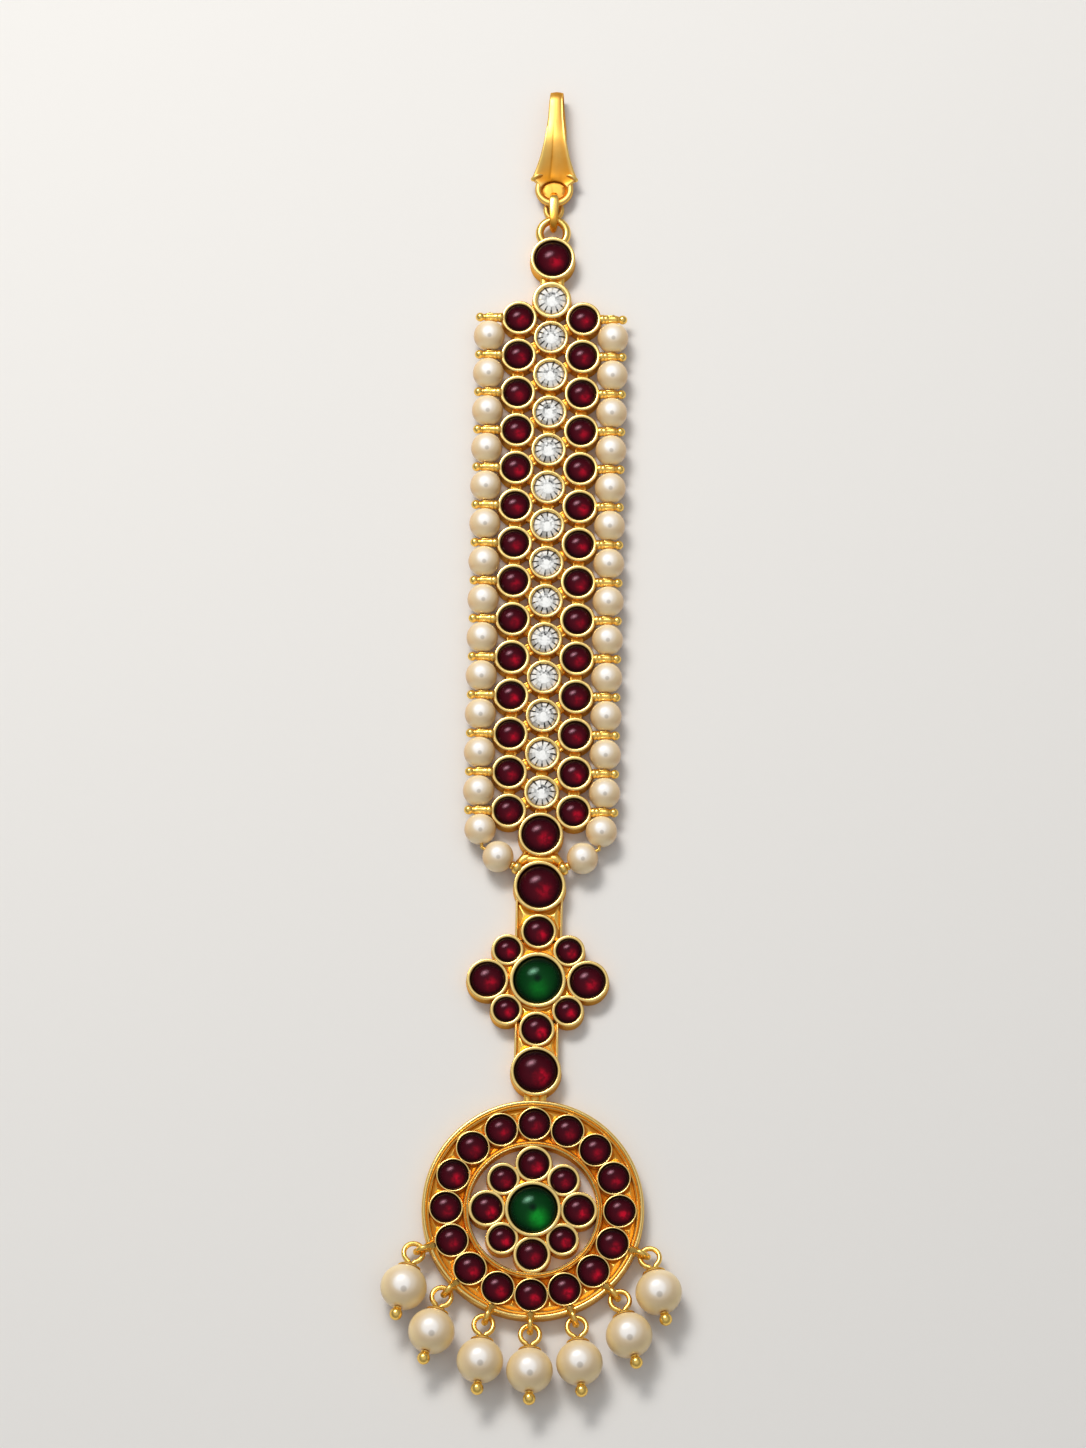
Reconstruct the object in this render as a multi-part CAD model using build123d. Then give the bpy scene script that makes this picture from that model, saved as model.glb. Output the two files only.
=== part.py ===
from build123d import *

import os
from math import cos, radians, sin, sqrt

# Maang tikka lying face up: +Z is the face, +Y runs along the ornament towards the hair hook.
# All sizes are in millimetres. Heights along the spine are measured from the medallion's centre.

# --- metal levels ---
FLOOR_TOP = 0.7  # top of the back plate that joins the collets
SMALL_TOP = 2.2  # rim of a strip, petal or medallion collet
LARGE_TOP = 2.5  # rim of a large bezel
GAP = 0.05  # clearance between a stone and its setting
GIRDLE_DEPTH = 0.25  # a cabochon's girdle below its rim, as a share of its radius
DOME_RISE = 0.52  # its dome above the girdle, likewise

# --- collets: outer radius and stone radius ---
CRYSTAL_COLLET_R, CRYSTAL_R = 2.25, 1.84
RUBY_COLLET_R, RUBY_R = 2.3, 1.84
TOP_CRYSTAL_COLLET_R, TOP_CRYSTAL_R = 2.54, 1.95
TOP_BEZEL_R, TOP_RUBY_R = 2.88, 2.42
BASE_BEZEL_R, BASE_RUBY_R = 2.84, 2.42
UPPER_BEZEL_R, UPPER_RUBY_R = 3.3, 2.84
LOWER_BEZEL_R, LOWER_RUBY_R = 3.18, 2.75
EMERALD_BEZEL_R, EMERALD_R = 3.55, 3.08

# --- spine heights above the medallion's centre ---
LOWER_BEZEL_Y = 17.5
FLOWER_Y = 29.2
UPPER_BEZEL_Y = 41.3
BASE_BEZEL_Y = 48.0
FIRST_PEG_Y = 51.05
FIRST_CRYSTAL_Y = 53.55
TOP_BEZEL_Y = 124.5
TOP_LOOP_Y = 128.15
EYE_Y = 134.2
HOOK_TOP_Y = 147.3

# --- the long strip ---
ROWS = 14
ROW_PITCH = 5.03
COLUMN_X = 4.12  # from the crystals' row to each ruby row
BRIDGE_WIDTH = 0.9

# --- edge pearls, their pegs and their wire ---
PEARL_R = 2.0
PEARL_X = 7.95
PEARL_Z = 2.05
PEARL_BORE_R = 0.35
WIRE_R = 0.2
PEG_R = 0.48
PEG_BALL_R = 0.58
PEG_BALL_X = 9.15
WIRE_BORE_R = 0.3
FOOT_RUN_DEG = 83.0  # the wire's fall below the horizontal through the first pearl under the pegs
TURN_RUN_DEG = 30.0  # and through the second, on its way to the crimp tube
FOOT_RUN = 2.5  # last peg to the first pearl's centre
TURN_RUN = 2.35  # from each of those two pearls' centres to the wire's corner between them
CRIMP_RUN = 5.2  # from that corner to the middle of the crimp tube
CORNER_R = 0.5
CRIMP_R, CRIMP_LENGTH = 0.55, 1.5

# --- flower ---
PETAL_STEP = 6.28
DIAGONAL_STEP = 3.85  # along x and along y
END_PETAL_R, END_PETAL_STONE_R = 2.26, 1.88
SIDE_PETAL_R, SIDE_PETAL_STONE_R = 2.66, 2.24
DIAGONAL_PETAL_R, DIAGONAL_STONE_R = 2.03, 1.62
FLOWER_PLATE_R = 5.3
STRAP_HALF_UPPER, STRAP_HALF_LOWER = 2.96, 2.76
STRAP_RIM = 0.38
STRAP_RIM_TOP = 1.9
YOKE_HALF = 2.2
NECK_HALF = 1.35
TOP_NECK_HALF = 1.5
NECK_TOP = 1.6

# --- medallion ---
MEDALLION_R = 13.85
RIM_WALL = 0.75
RIM_TOP = 2.4
RIM_STONES = 16
RIM_STONE_CENTRE_R = 10.82
RIM_COLLET_R, RIM_STONE_R = 2.14, 1.93
BORDER_OUTER_R, BORDER_INNER_R = 8.6, 7.98
PETAL_CENTRE_R = 5.72
INNER_PETAL_R, INNER_PETAL_STONE_R = 2.34, 1.92
INNER_DIAGONAL_STEP = 3.75
INNER_DIAGONAL_R, INNER_DIAGONAL_STONE_R = 2.08, 1.66
INNER_PLATE_R = 5.0

# --- drops ---
DROP_PEARL_R = 2.9
DROP_LOOP_STEP = 4.75  # pearl's centre to its loop's centre
DROP_LOOP_R, DROP_WIRE_R = 1.2, 0.28
DROP_LOOP_OUT = 15.77  # loop's centre from the medallion's centre
LOOP_Z = 1.9
EYELET_OUT = 14.42
EYELET_R, EYELET_WIRE_R = 1.0, 0.36
PIN_R, PIN_BORE_R = 0.3, 0.4
CAP_R, CAP_NECK_R, CAP_BASE, CAP_HEIGHT = 1.4, 0.8, 2.5, 0.8
END_BALL_R, END_BALL_STEP = 0.68, 3.83
END_COLLAR_R, END_COLLAR_BASE = 0.5, 2.98
# each drop's eyelet and hang, in degrees from straight down, for one side
DROP_ANGLES = [
    {"eyelet": 21.5, "hang": 4.5},
    {"eyelet": 44.5, "hang": 14.5},
    {"eyelet": 68.5, "hang": 14.0},
]

# --- top loop, link and hook ---
LOOP_MEAN_R, LOOP_WIRE_R = 1.74, 0.52
LOOP_LEVEL = 1.55
LINK_WIRE_R = 0.38
LINK_INNER_LENGTH, LINK_INNER_HEIGHT = 3.8, 1.5
LINK_Y = 131.0
EYE_R, EYE_THICK = 2.4, 0.85
EYE_HOLE_HALF_X, EYE_HOLE_HALF_Y, EYE_HOLE_Y = 1.6, 1.3, 133.95
BLADE_THICK = 0.65
BLADE_LEVEL = 3.15
RETURN_LEVEL = 0.45
# blade outline: half-width at each height
BLADE = [
    {"y": 135.1, "half": 1.9},
    {"y": 135.5, "half": 2.85},
    {"y": 136.2, "half": 2.8},
    {"y": 136.9, "half": 2.25},
    {"y": 138.0, "half": 1.6},
    {"y": 139.4, "half": 1.18},
    {"y": 142.0, "half": 0.86},
    {"y": HOOK_TOP_Y + 1, "half": 0.78},
]
RETURN_HALF = 0.95
RETURN_OFFSET = 0.45  # the return arm stands a little to one side of the blade
RETURN_WIDE_Y, RETURN_END_Y = 142.0, 133.95

LOWEST_Y = -(DROP_LOOP_OUT + sqrt(DROP_LOOP_STEP**2 - (DROP_PEARL_R - LOOP_Z) ** 2))
DROP_TILT = (DROP_PEARL_R - LOOP_Z) / DROP_LOOP_STEP  # sine of the pin's slope down to its loop
BOX_LOW_Y = LOWEST_Y - END_BALL_STEP * sqrt(1 - DROP_TILT**2) - END_BALL_R
BOX_MIDDLE_Y = (HOOK_TOP_Y + BOX_LOW_Y) / 2
STANDING = (Align.CENTER, Align.CENTER, Align.MIN)  # a solid stood on its place


def along(y):
    """A spine height as a y in the row frame, whose origin is the middle of the box."""
    return y - BOX_MIDDLE_Y


def ring_places(count, radius, start_deg=0.0):
    """Points evenly spaced on a circle, first one straight up."""
    places = []
    for i in range(count):
        turn = radians(start_deg + 360 * i / count)
        places.append((radius * sin(turn), radius * cos(turn)))
    return places


def strip_places():
    """The strip's settings as (x, y, collet radius, stone radius): crystals first, then rubies."""
    crystals = []
    for i in range(ROWS):
        top = i == ROWS - 1
        collet, stone = (TOP_CRYSTAL_COLLET_R, TOP_CRYSTAL_R) if top else (CRYSTAL_COLLET_R, CRYSTAL_R)
        crystals.append((0, FIRST_CRYSTAL_Y + i * ROW_PITCH, collet, stone))
    rubies = []
    for side in (-1, 1):
        for i in range(ROWS):
            rubies.append((side * COLUMN_X, peg_height(i), RUBY_COLLET_R, RUBY_R))
    return crystals, rubies


def peg_height(i):
    return FIRST_PEG_Y + i * ROW_PITCH


def flower_places():
    """The eight petals round the upper flower's emerald."""
    ends = [(0, s * PETAL_STEP, END_PETAL_R, END_PETAL_STONE_R) for s in (1, -1)]
    sides = [(s * PETAL_STEP, 0, SIDE_PETAL_R, SIDE_PETAL_STONE_R) for s in (1, -1)]
    step = DIAGONAL_STEP
    signs = [(i, j) for i in (1, -1) for j in (1, -1)]
    corners = [(i * step, j * step, DIAGONAL_PETAL_R, DIAGONAL_STONE_R) for i, j in signs]
    return [(x, FLOWER_Y + y, r, stone) for x, y, r, stone in ends + sides + corners]


def medallion_petal_places():
    """The eight petals round the medallion's emerald."""
    mains = [(x, y, INNER_PETAL_R, INNER_PETAL_STONE_R) for x, y in ring_places(4, PETAL_CENTRE_R)]
    corner_r = INNER_DIAGONAL_STEP * sqrt(2)
    corners = [(x, y, INNER_DIAGONAL_R, INNER_DIAGONAL_STONE_R) for x, y in ring_places(4, corner_r, 45)]
    return mains + corners


def medallion_rim_places():
    return [(x, y, RIM_COLLET_R, RIM_STONE_R) for x, y in ring_places(RIM_STONES, RIM_STONE_CENTRE_R)]


CRYSTALS, STRIP_RUBIES = strip_places()
TOP_RUBY = (0, TOP_BEZEL_Y, TOP_BEZEL_R, TOP_RUBY_R)
BASE_RUBY = (0, BASE_BEZEL_Y, BASE_BEZEL_R, BASE_RUBY_R)
UPPER_RUBY = (0, UPPER_BEZEL_Y, UPPER_BEZEL_R, UPPER_RUBY_R)
LOWER_RUBY = (0, LOWER_BEZEL_Y, LOWER_BEZEL_R, LOWER_RUBY_R)
FLOWER_EMERALD = (0, FLOWER_Y, EMERALD_BEZEL_R, EMERALD_R)
MEDALLION_EMERALD = (0, 0, EMERALD_BEZEL_R, EMERALD_R)
FLOWER_RUBIES = flower_places()
PETAL_RUBIES = medallion_petal_places()
RIM_RUBIES = medallion_rim_places()

SMALL_SETTINGS = CRYSTALS + STRIP_RUBIES + FLOWER_RUBIES + PETAL_RUBIES + RIM_RUBIES
LARGE_SETTINGS = [TOP_RUBY, BASE_RUBY, UPPER_RUBY, LOWER_RUBY, FLOWER_EMERALD, MEDALLION_EMERALD]


# --- sketches of the soldered frame, one for each level ---
def disc(x, y, radius):
    return Pos(x, along(y)) * Circle(radius)


def bar(x1, y1, x2, y2, width):
    """A flat bar between two points, seen from above."""
    start, end = Vector(x1, along(y1)), Vector(x2, along(y2))
    run = end - start
    middle = (start + end) * 0.5
    turn = Vector(1, 0).get_signed_angle(run, Vector(0, 0, 1))
    return Pos(middle.X, middle.Y) * Rot(0, 0, turn) * Rectangle(run.length, width)


def strip_bridges():
    """Solder bridges between neighbouring collets of the strip."""
    top = ROWS - 1
    spine = bar(0, BASE_BEZEL_Y, 0, CRYSTALS[top][1], 2 * BRIDGE_WIDTH)
    bars = [spine, bar(0, CRYSTALS[top][1], 0, TOP_BEZEL_Y, 2 * TOP_NECK_HALF)]
    for side in (-1, 1):
        x = side * COLUMN_X
        bars.append(bar(x, peg_height(0), x, peg_height(top), BRIDGE_WIDTH))
        bars.append(bar(x, peg_height(0), 0, BASE_BEZEL_Y, BRIDGE_WIDTH))
        for i in range(ROWS):
            bars.append(bar(x, peg_height(i), 0, CRYSTALS[i][1], BRIDGE_WIDTH))
            if i > 0:
                bars.append(bar(x, peg_height(i), 0, CRYSTALS[i - 1][1], BRIDGE_WIDTH))
    return bars


def base_sketch():
    """The back plate: every collet's disc, the bridges, straps, yoke and the medallion's plate."""
    plate = [disc(x, y, r) for x, y, r, _ in SMALL_SETTINGS + LARGE_SETTINGS]
    plate += strip_bridges()
    plate.append(bar(0, UPPER_BEZEL_Y, 0, BASE_BEZEL_Y, 2 * YOKE_HALF))
    plate.append(bar(0, FLOWER_Y + PETAL_STEP - 1, 0, UPPER_BEZEL_Y, 2 * STRAP_HALF_UPPER))
    plate.append(bar(0, LOWER_BEZEL_Y, 0, FLOWER_Y - PETAL_STEP + 1, 2 * STRAP_HALF_LOWER))
    plate.append(bar(0, MEDALLION_R - RIM_WALL, 0, LOWER_BEZEL_Y, 2 * NECK_HALF))
    plate.append(disc(0, FLOWER_Y, FLOWER_PLATE_R))
    plate.append(disc(0, 0, INNER_PLATE_R))
    plate.append(disc(0, 0, MEDALLION_R) - disc(0, 0, BORDER_INNER_R))
    return Sketch() + plate


def wall_sketch(settings, pockets):
    """The collets' walls at one level, clear of every stone's pocket."""
    walls = Sketch() + [disc(x, y, r) for x, y, r, _ in settings]
    return walls - [disc(x, y, stone) for x, y, _, stone in pockets]


def strap_rims():
    """Raised side rims of the two straps."""
    rims = []
    runs = [
        (STRAP_HALF_UPPER, FLOWER_Y + PETAL_STEP - 1, UPPER_BEZEL_Y - 1),
        (STRAP_HALF_LOWER, LOWER_BEZEL_Y + 1, FLOWER_Y - PETAL_STEP + 1),
    ]
    for half, low, high in runs:
        for side in (-1, 1):
            x = side * (half - STRAP_RIM / 2)
            rims.append(bar(x, low, x, high, STRAP_RIM))
    return rims


def slab(sketch, low, high):
    return extrude(Pos(0, 0, low) * sketch, amount=high - low)


def frame_plates():
    """Back plate, collet walls, straps, necks and the medallion's two raised rings."""
    settings = SMALL_SETTINGS + LARGE_SETTINGS
    pockets = [disc(x, y, stone) for x, y, _, stone in settings]
    small = wall_sketch(SMALL_SETTINGS, settings)
    large = wall_sketch(LARGE_SETTINGS, settings)
    necks = Sketch() + [
        bar(0, MEDALLION_R - RIM_WALL, 0, LOWER_BEZEL_Y, 2 * NECK_HALF),
        bar(0, CRYSTALS[ROWS - 1][1], 0, TOP_BEZEL_Y, 2 * TOP_NECK_HALF),
        bar(0, UPPER_BEZEL_Y, 0, BASE_BEZEL_Y, 2 * YOKE_HALF),
    ]
    rim = disc(0, 0, MEDALLION_R) - disc(0, 0, MEDALLION_R - RIM_WALL)
    border = disc(0, 0, BORDER_OUTER_R) - disc(0, 0, BORDER_INNER_R)
    rims = (Sketch() + strap_rims()) - pockets
    return [
        slab(base_sketch(), 0, FLOOR_TOP),
        slab(small, FLOOR_TOP, SMALL_TOP),
        slab(large, FLOOR_TOP, LARGE_TOP),
        slab(necks - pockets, FLOOR_TOP, NECK_TOP),
        slab(rims, FLOOR_TOP, STRAP_RIM_TOP),
        slab(rim, FLOOR_TOP, RIM_TOP),
        slab(border - pockets, FLOOR_TOP, SMALL_TOP),
    ]


# --- pegs, crimp tubes, eyelets and loop ---
def rod(start, end, radius):
    """A round rod between two points."""
    run = end - start
    place = Plane(origin=start, z_dir=run)
    return place * Cylinder(radius, run.length, align=STANDING)


def peg(side, y):
    """One edge peg: a bar out of the ruby's collet with a ball on its end."""
    root = Vector(side * (COLUMN_X + (RUBY_R + RUBY_COLLET_R) / 2), along(y), PEARL_Z)
    tip = Vector(side * PEG_BALL_X, along(y), PEARL_Z)
    return rod(root, tip, PEG_R) + Pos(*tip) * Sphere(PEG_BALL_R)


def inward_fall(side, fall_deg):
    """The direction of a run that goes down and inwards, by its fall below the horizontal."""
    fall = radians(fall_deg)
    return Vector(-side * cos(fall), -sin(fall), 0)


def wire_points(side):
    """The stringing wire's route: top end, last peg, corner between the turning pearls, crimp tube."""
    top = Vector(side * PEARL_X, along(peg_height(ROWS - 1) + PEG_R), PEARL_Z)
    foot = Vector(side * PEARL_X, along(peg_height(0)), PEARL_Z)
    corner = foot + inward_fall(side, FOOT_RUN_DEG) * (FOOT_RUN + TURN_RUN)
    crimp = corner + inward_fall(side, TURN_RUN_DEG) * CRIMP_RUN
    return top, foot, corner, crimp


def crimp_tube(side):
    """The tube that ends the wire, soldered beside the upper bezel."""
    crimp = wire_points(side)[-1]
    reach = inward_fall(side, TURN_RUN_DEG) * (CRIMP_LENGTH / 2)
    return rod(crimp - reach, crimp + reach, CRIMP_R)


def drop_frames():
    """Each drop's eyelet angle, pearl centre and pin direction, from left to right."""
    angles = [(-row["eyelet"], -row["hang"]) for row in reversed(DROP_ANGLES)]
    angles += [(0.0, 0.0)]
    angles += [(row["eyelet"], row["hang"]) for row in DROP_ANGLES]
    frames = []
    for eyelet_deg, hang_deg in angles:
        eyelet, hang = radians(eyelet_deg), radians(hang_deg)
        loop = Vector(DROP_LOOP_OUT * sin(eyelet), along(-DROP_LOOP_OUT * cos(eyelet)), LOOP_Z)
        level = sqrt(1 - DROP_TILT**2)
        up_pin = Vector(-sin(hang) * level, cos(hang) * level, -DROP_TILT)
        pearl = loop - up_pin * DROP_LOOP_STEP
        frames.append((eyelet, pearl, up_pin))
    return frames


def eyelet(turn):
    """A ring on edge, soldered to the medallion's rim."""
    outward = Vector(sin(turn), -cos(turn), 0)
    centre = Vector(0, along(0), LOOP_Z) + outward * EYELET_OUT
    upright = Plane(origin=centre, x_dir=outward, z_dir=outward.cross(Vector(0, 0, 1)))
    ring = upright * Torus(EYELET_R, EYELET_WIRE_R)
    return ring - Pos(0, along(0), LOOP_Z) * Cylinder(MEDALLION_R - RIM_WALL, 4 * EYELET_R)


def top_loop():
    """The round loop on the top bezel, cut off where the bezel's pocket begins."""
    ring = Pos(0, along(TOP_LOOP_Y), LOOP_LEVEL) * Torus(LOOP_MEAN_R, LOOP_WIRE_R)
    return ring - Pos(0, along(TOP_BEZEL_Y), LOOP_LEVEL) * Cylinder(TOP_RUBY_R + GAP, 4 * LOOP_WIRE_R)


def frame():
    """All the soldered metal as one solid."""
    pieces = frame_plates()
    for side in (-1, 1):
        pieces += [peg(side, peg_height(i)) for i in range(ROWS)]
        pieces.append(crimp_tube(side))
    pieces += [eyelet(turn) for turn, _, _ in drop_frames()]
    pieces.append(top_loop())
    bores = []
    for side in (-1, 1):
        top, foot, corner, crimp = wire_points(side)
        end = crimp + inward_fall(side, TURN_RUN_DEG) * (CRIMP_LENGTH / 4)
        bores.append(rod(foot - Vector(0, 1, 0), top + Vector(0, 1, 0), WIRE_BORE_R))
        bores.append(rod(corner, end, WIRE_BORE_R))
    return Part() + pieces - bores


# --- stones ---
def cabochon(x, y, radius, rim_top):
    """A low round dome on a short girdle, resting in its collet."""
    stone_r = radius - GAP
    bottom = FLOOR_TOP + GAP
    girdle = rim_top - GIRDLE_DEPTH * stone_r
    dome = DOME_RISE * stone_r
    dome_r = (stone_r**2 + dome**2) / (2 * dome)
    body = Cylinder(stone_r, girdle + dome - bottom, align=STANDING)
    stone = Pos(0, 0, bottom) * body & Pos(0, 0, girdle + dome - dome_r) * Sphere(dome_r)
    return Pos(x, along(y)) * stone


def crystal(x, y, radius):
    """A round faceted stone: girdle, sloping crown and flat table."""
    stone_r = radius - GAP
    bottom, girdle, table = FLOOR_TOP + GAP, SMALL_TOP - 0.45, SMALL_TOP + 0.15
    body = Pos(x, along(y), bottom) * Cylinder(stone_r, girdle - bottom, align=STANDING)
    crown = Pos(x, along(y), girdle) * Cone(stone_r, 0.5 * stone_r, table - girdle, align=STANDING)
    return body + crown


def cabochons(settings, rim_top):
    return Compound([cabochon(x, y, stone, rim_top).solid() for x, y, _, stone in settings])


# --- pearls and pins ---
def bored_pearl(centre, thread, radius, bore_r):
    """A pearl with its drill hole along the thread."""
    half = thread.normalized() * (radius + 1)
    return Pos(*centre) * Sphere(radius) - rod(centre - half, centre + half, bore_r)


def edge_pearls(side):
    """Fifteen pearls of one edge, from the top: thirteen between the pegs and two that turn inwards."""
    _, foot, corner, _ = wire_points(side)
    places = []
    for i in reversed(range(ROWS - 1)):
        middle = along(peg_height(i) + ROW_PITCH / 2)
        places.append((Vector(side * PEARL_X, middle, PEARL_Z), Vector(0, 1, 0)))
    first_run = inward_fall(side, FOOT_RUN_DEG)
    second_run = inward_fall(side, TURN_RUN_DEG)
    places.append((foot + first_run * FOOT_RUN, first_run))
    places.append((corner + second_run * TURN_RUN, second_run))
    return [bored_pearl(centre, thread, PEARL_R, PEARL_BORE_R) for centre, thread in places]


def pearl_wire(side):
    """The stringing wire, straight through the pearls, with a short arc at each of its two corners."""
    path = FilletPolyline(*wire_points(side), radius=CORNER_R)
    section = Plane(origin=path @ 0, z_dir=path % 0) * Circle(WIRE_R)
    return sweep(section, path=path)


def pin_plane(pearl, up_pin):
    """The pin's own plane: z up the shank towards the loop, y nearly straight up from the surface."""
    across = Vector(0, 0, 1).cross(up_pin).normalized() * -1
    return Plane(origin=pearl, x_dir=across, z_dir=up_pin)


def drop_pin(pearl, up_pin):
    """Head pin: ball end, collar, shank through the pearl, cap and rolled loop."""
    shank_top = DROP_LOOP_STEP - DROP_LOOP_R + DROP_WIRE_R / 2
    shank = Pos(0, 0, -END_BALL_STEP) * Cylinder(PIN_R, END_BALL_STEP + shank_top, align=STANDING)
    collar_height = END_BALL_STEP - END_COLLAR_BASE
    collar = Pos(0, 0, -END_BALL_STEP) * Cylinder(END_COLLAR_R, collar_height, align=STANDING)
    cap = Pos(0, 0, CAP_BASE) * Cone(CAP_R, CAP_NECK_R, CAP_HEIGHT, align=STANDING)
    cap -= Sphere(DROP_PEARL_R + GAP)
    loop = Pos(0, 0, DROP_LOOP_STEP) * Rot(90, 0, 0) * Torus(DROP_LOOP_R, DROP_WIRE_R)
    ball = Pos(0, 0, -END_BALL_STEP) * Sphere(END_BALL_R)
    return pin_plane(pearl, up_pin) * (shank + collar + cap + loop + ball)


# --- link and hook ---
def hook_link():
    """An oval jump ring on edge, through the top loop and the hook's eye."""
    half_y = LINK_INNER_LENGTH / 2 + LINK_WIRE_R
    half_z = LINK_INNER_HEIGHT / 2 + LINK_WIRE_R
    outline = Plane.YZ * SlotOverall(2 * half_y, 2 * half_z)
    path = Pos(0, along(LINK_Y), LOOP_LEVEL) * outline.wire()
    section = Plane(origin=path @ 0, z_dir=path % 0) * Circle(LINK_WIRE_R)
    return sweep(section, path=path)


def outline_prism(points, low, high):
    """A closed outline in plan, stood up from one level to another."""
    edge = [(x, along(y), low) for x, y in points]
    return extrude(make_face(Polyline(*edge, close=True)), amount=high - low, dir=(0, 0, 1))


def ribbon(*curves):
    """A strip of the blade's thickness along a side-view curve, wide enough for any outline."""
    band = offset(Wire(list(curves)), amount=BLADE_THICK / 2, side=Side.BOTH)
    return extrude(make_face(band), amount=2 * EYE_R, both=True)


def side_point(y, z):
    return Vector(0, along(y), z)


def hook():
    """Leaf-shaped hook: blade with wings, bend, return arm and eye ring."""
    bend_r = (BLADE_LEVEL - RETURN_LEVEL) / 2
    bend_y = HOOK_TOP_Y - bend_r - BLADE_THICK / 2
    foot = side_point(EYE_Y + 1.2, LOOP_LEVEL)
    crest = side_point(BLADE[4]["y"] + 1, BLADE_LEVEL)
    turn = side_point(bend_y, BLADE_LEVEL)
    beyond = side_point(bend_y + bend_r, BLADE_LEVEL - bend_r)
    back = side_point(bend_y, RETURN_LEVEL)
    lower_rise = TangentArc(foot, (foot + crest) * 0.5, tangent=(0, 1, 0))
    upper_rise = TangentArc((foot + crest) * 0.5, crest, tangent=lower_rise % 1)
    front = ribbon(lower_rise, upper_rise, Line(crest, turn), ThreePointArc(turn, beyond, back))
    left = [(-row["half"], row["y"]) for row in BLADE]
    right = [(row["half"], row["y"]) for row in reversed(BLADE)]
    blade = front & outline_prism(left + right, 0, 2 * BLADE_LEVEL)
    top_half = BLADE[-1]["half"]
    near, far = RETURN_OFFSET - RETURN_HALF, RETURN_OFFSET + RETURN_HALF
    arm_outline = [(-top_half, bend_y), (near, RETURN_WIDE_Y), (near, RETURN_END_Y)]
    arm_outline += [(far, RETURN_END_Y), (far, RETURN_WIDE_Y), (top_half, bend_y)]
    arm = outline_prism(arm_outline, RETURN_LEVEL - BLADE_THICK / 2, RETURN_LEVEL + BLADE_THICK / 2)
    ring = Pos(0, along(EYE_Y), LOOP_LEVEL) * Cylinder(EYE_R, EYE_THICK)
    hole_plan = Pos(0, along(EYE_HOLE_Y)) * Ellipse(EYE_HOLE_HALF_X, EYE_HOLE_HALF_Y)
    hole = extrude(hole_plan, amount=2 * BLADE_LEVEL)
    return (ring + blade - hole) + arm


# --- nodes ---
def nodes():
    """Every node's name and shape."""
    made = {"frame": frame(), "hook": hook(), "hook_link": hook_link()}
    made["top_ruby"] = cabochons([TOP_RUBY], LARGE_TOP)
    made["base_ruby"] = cabochons([BASE_RUBY], LARGE_TOP)
    made["upper_ruby"] = cabochons([UPPER_RUBY], LARGE_TOP)
    made["lower_ruby"] = cabochons([LOWER_RUBY], LARGE_TOP)
    made["strip_crystals"] = Compound([crystal(x, y, r).solid() for x, y, _, r in CRYSTALS])
    made["strip_rubies"] = cabochons(STRIP_RUBIES, SMALL_TOP)
    made["flower_emerald"] = cabochons([FLOWER_EMERALD], LARGE_TOP)
    made["flower_rubies"] = cabochons(FLOWER_RUBIES, SMALL_TOP)
    made["medallion_emerald"] = cabochons([MEDALLION_EMERALD], LARGE_TOP)
    made["medallion_petal_rubies"] = cabochons(PETAL_RUBIES, SMALL_TOP)
    made["medallion_rim_rubies"] = cabochons(RIM_RUBIES, SMALL_TOP)
    for name, side in (("left", -1), ("right", 1)):
        made[f"pearl_wire_{name}"] = pearl_wire(side)
        for i, pearl in enumerate(edge_pearls(side), start=1):
            made[f"pearl_{name}_{i:02d}"] = pearl
    for i, (_, pearl, up_pin) in enumerate(drop_frames(), start=1):
        made[f"drop_pearl_{i}"] = bored_pearl(pearl, up_pin, DROP_PEARL_R, PIN_BORE_R)
        made[f"drop_pin_{i}"] = drop_pin(pearl, up_pin)
    return made


os.makedirs("parts", exist_ok=True)
for node_name, shape in nodes().items():
    export_step(Compound(shape.solids()), f"parts/{node_name}.step")
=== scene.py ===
import random
from collections import namedtuple
from math import cos, hypot, pi, radians, sin, sqrt, tau

import bmesh
import bpy
from mathutils import Matrix, Vector


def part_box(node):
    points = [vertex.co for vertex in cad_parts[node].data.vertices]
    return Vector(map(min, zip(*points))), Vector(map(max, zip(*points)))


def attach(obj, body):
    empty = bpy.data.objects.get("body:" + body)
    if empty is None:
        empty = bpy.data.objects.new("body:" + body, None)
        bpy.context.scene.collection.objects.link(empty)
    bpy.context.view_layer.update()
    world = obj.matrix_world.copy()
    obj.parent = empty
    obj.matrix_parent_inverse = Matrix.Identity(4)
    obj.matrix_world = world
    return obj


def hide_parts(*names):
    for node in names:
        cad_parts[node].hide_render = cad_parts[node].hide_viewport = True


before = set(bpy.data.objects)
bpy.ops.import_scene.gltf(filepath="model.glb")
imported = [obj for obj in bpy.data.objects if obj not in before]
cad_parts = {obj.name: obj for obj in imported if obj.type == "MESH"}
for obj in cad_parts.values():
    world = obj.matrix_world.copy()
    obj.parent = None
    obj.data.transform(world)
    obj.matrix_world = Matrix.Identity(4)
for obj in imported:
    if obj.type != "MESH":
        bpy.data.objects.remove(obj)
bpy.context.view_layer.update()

# The ornament lies face up on a table: +Z is its face, +Y runs towards the hair hook.
# Shapes are worked out in millimetres and turned into metres when a piece is finished.
MM = 0.001
HAND = random.Random(12)  # small differences between pieces made by hand
UP = Vector((0, 0, 1))


# ------------ reading the frame
def box_mm(node):
    """Lowest and highest corner of a CAD node, in millimetres."""
    low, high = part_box(node)
    return low / MM, high / MM


def middle(node):
    low, high = box_mm(node)
    return (low + high) / 2


def bead(node):
    """Centre and radius of a pearl's CAD node."""
    low, high = box_mm(node)
    return middle(node), (high.z - low.z) / 2


Stone = namedtuple("Stone", "x y radius low high")


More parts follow.
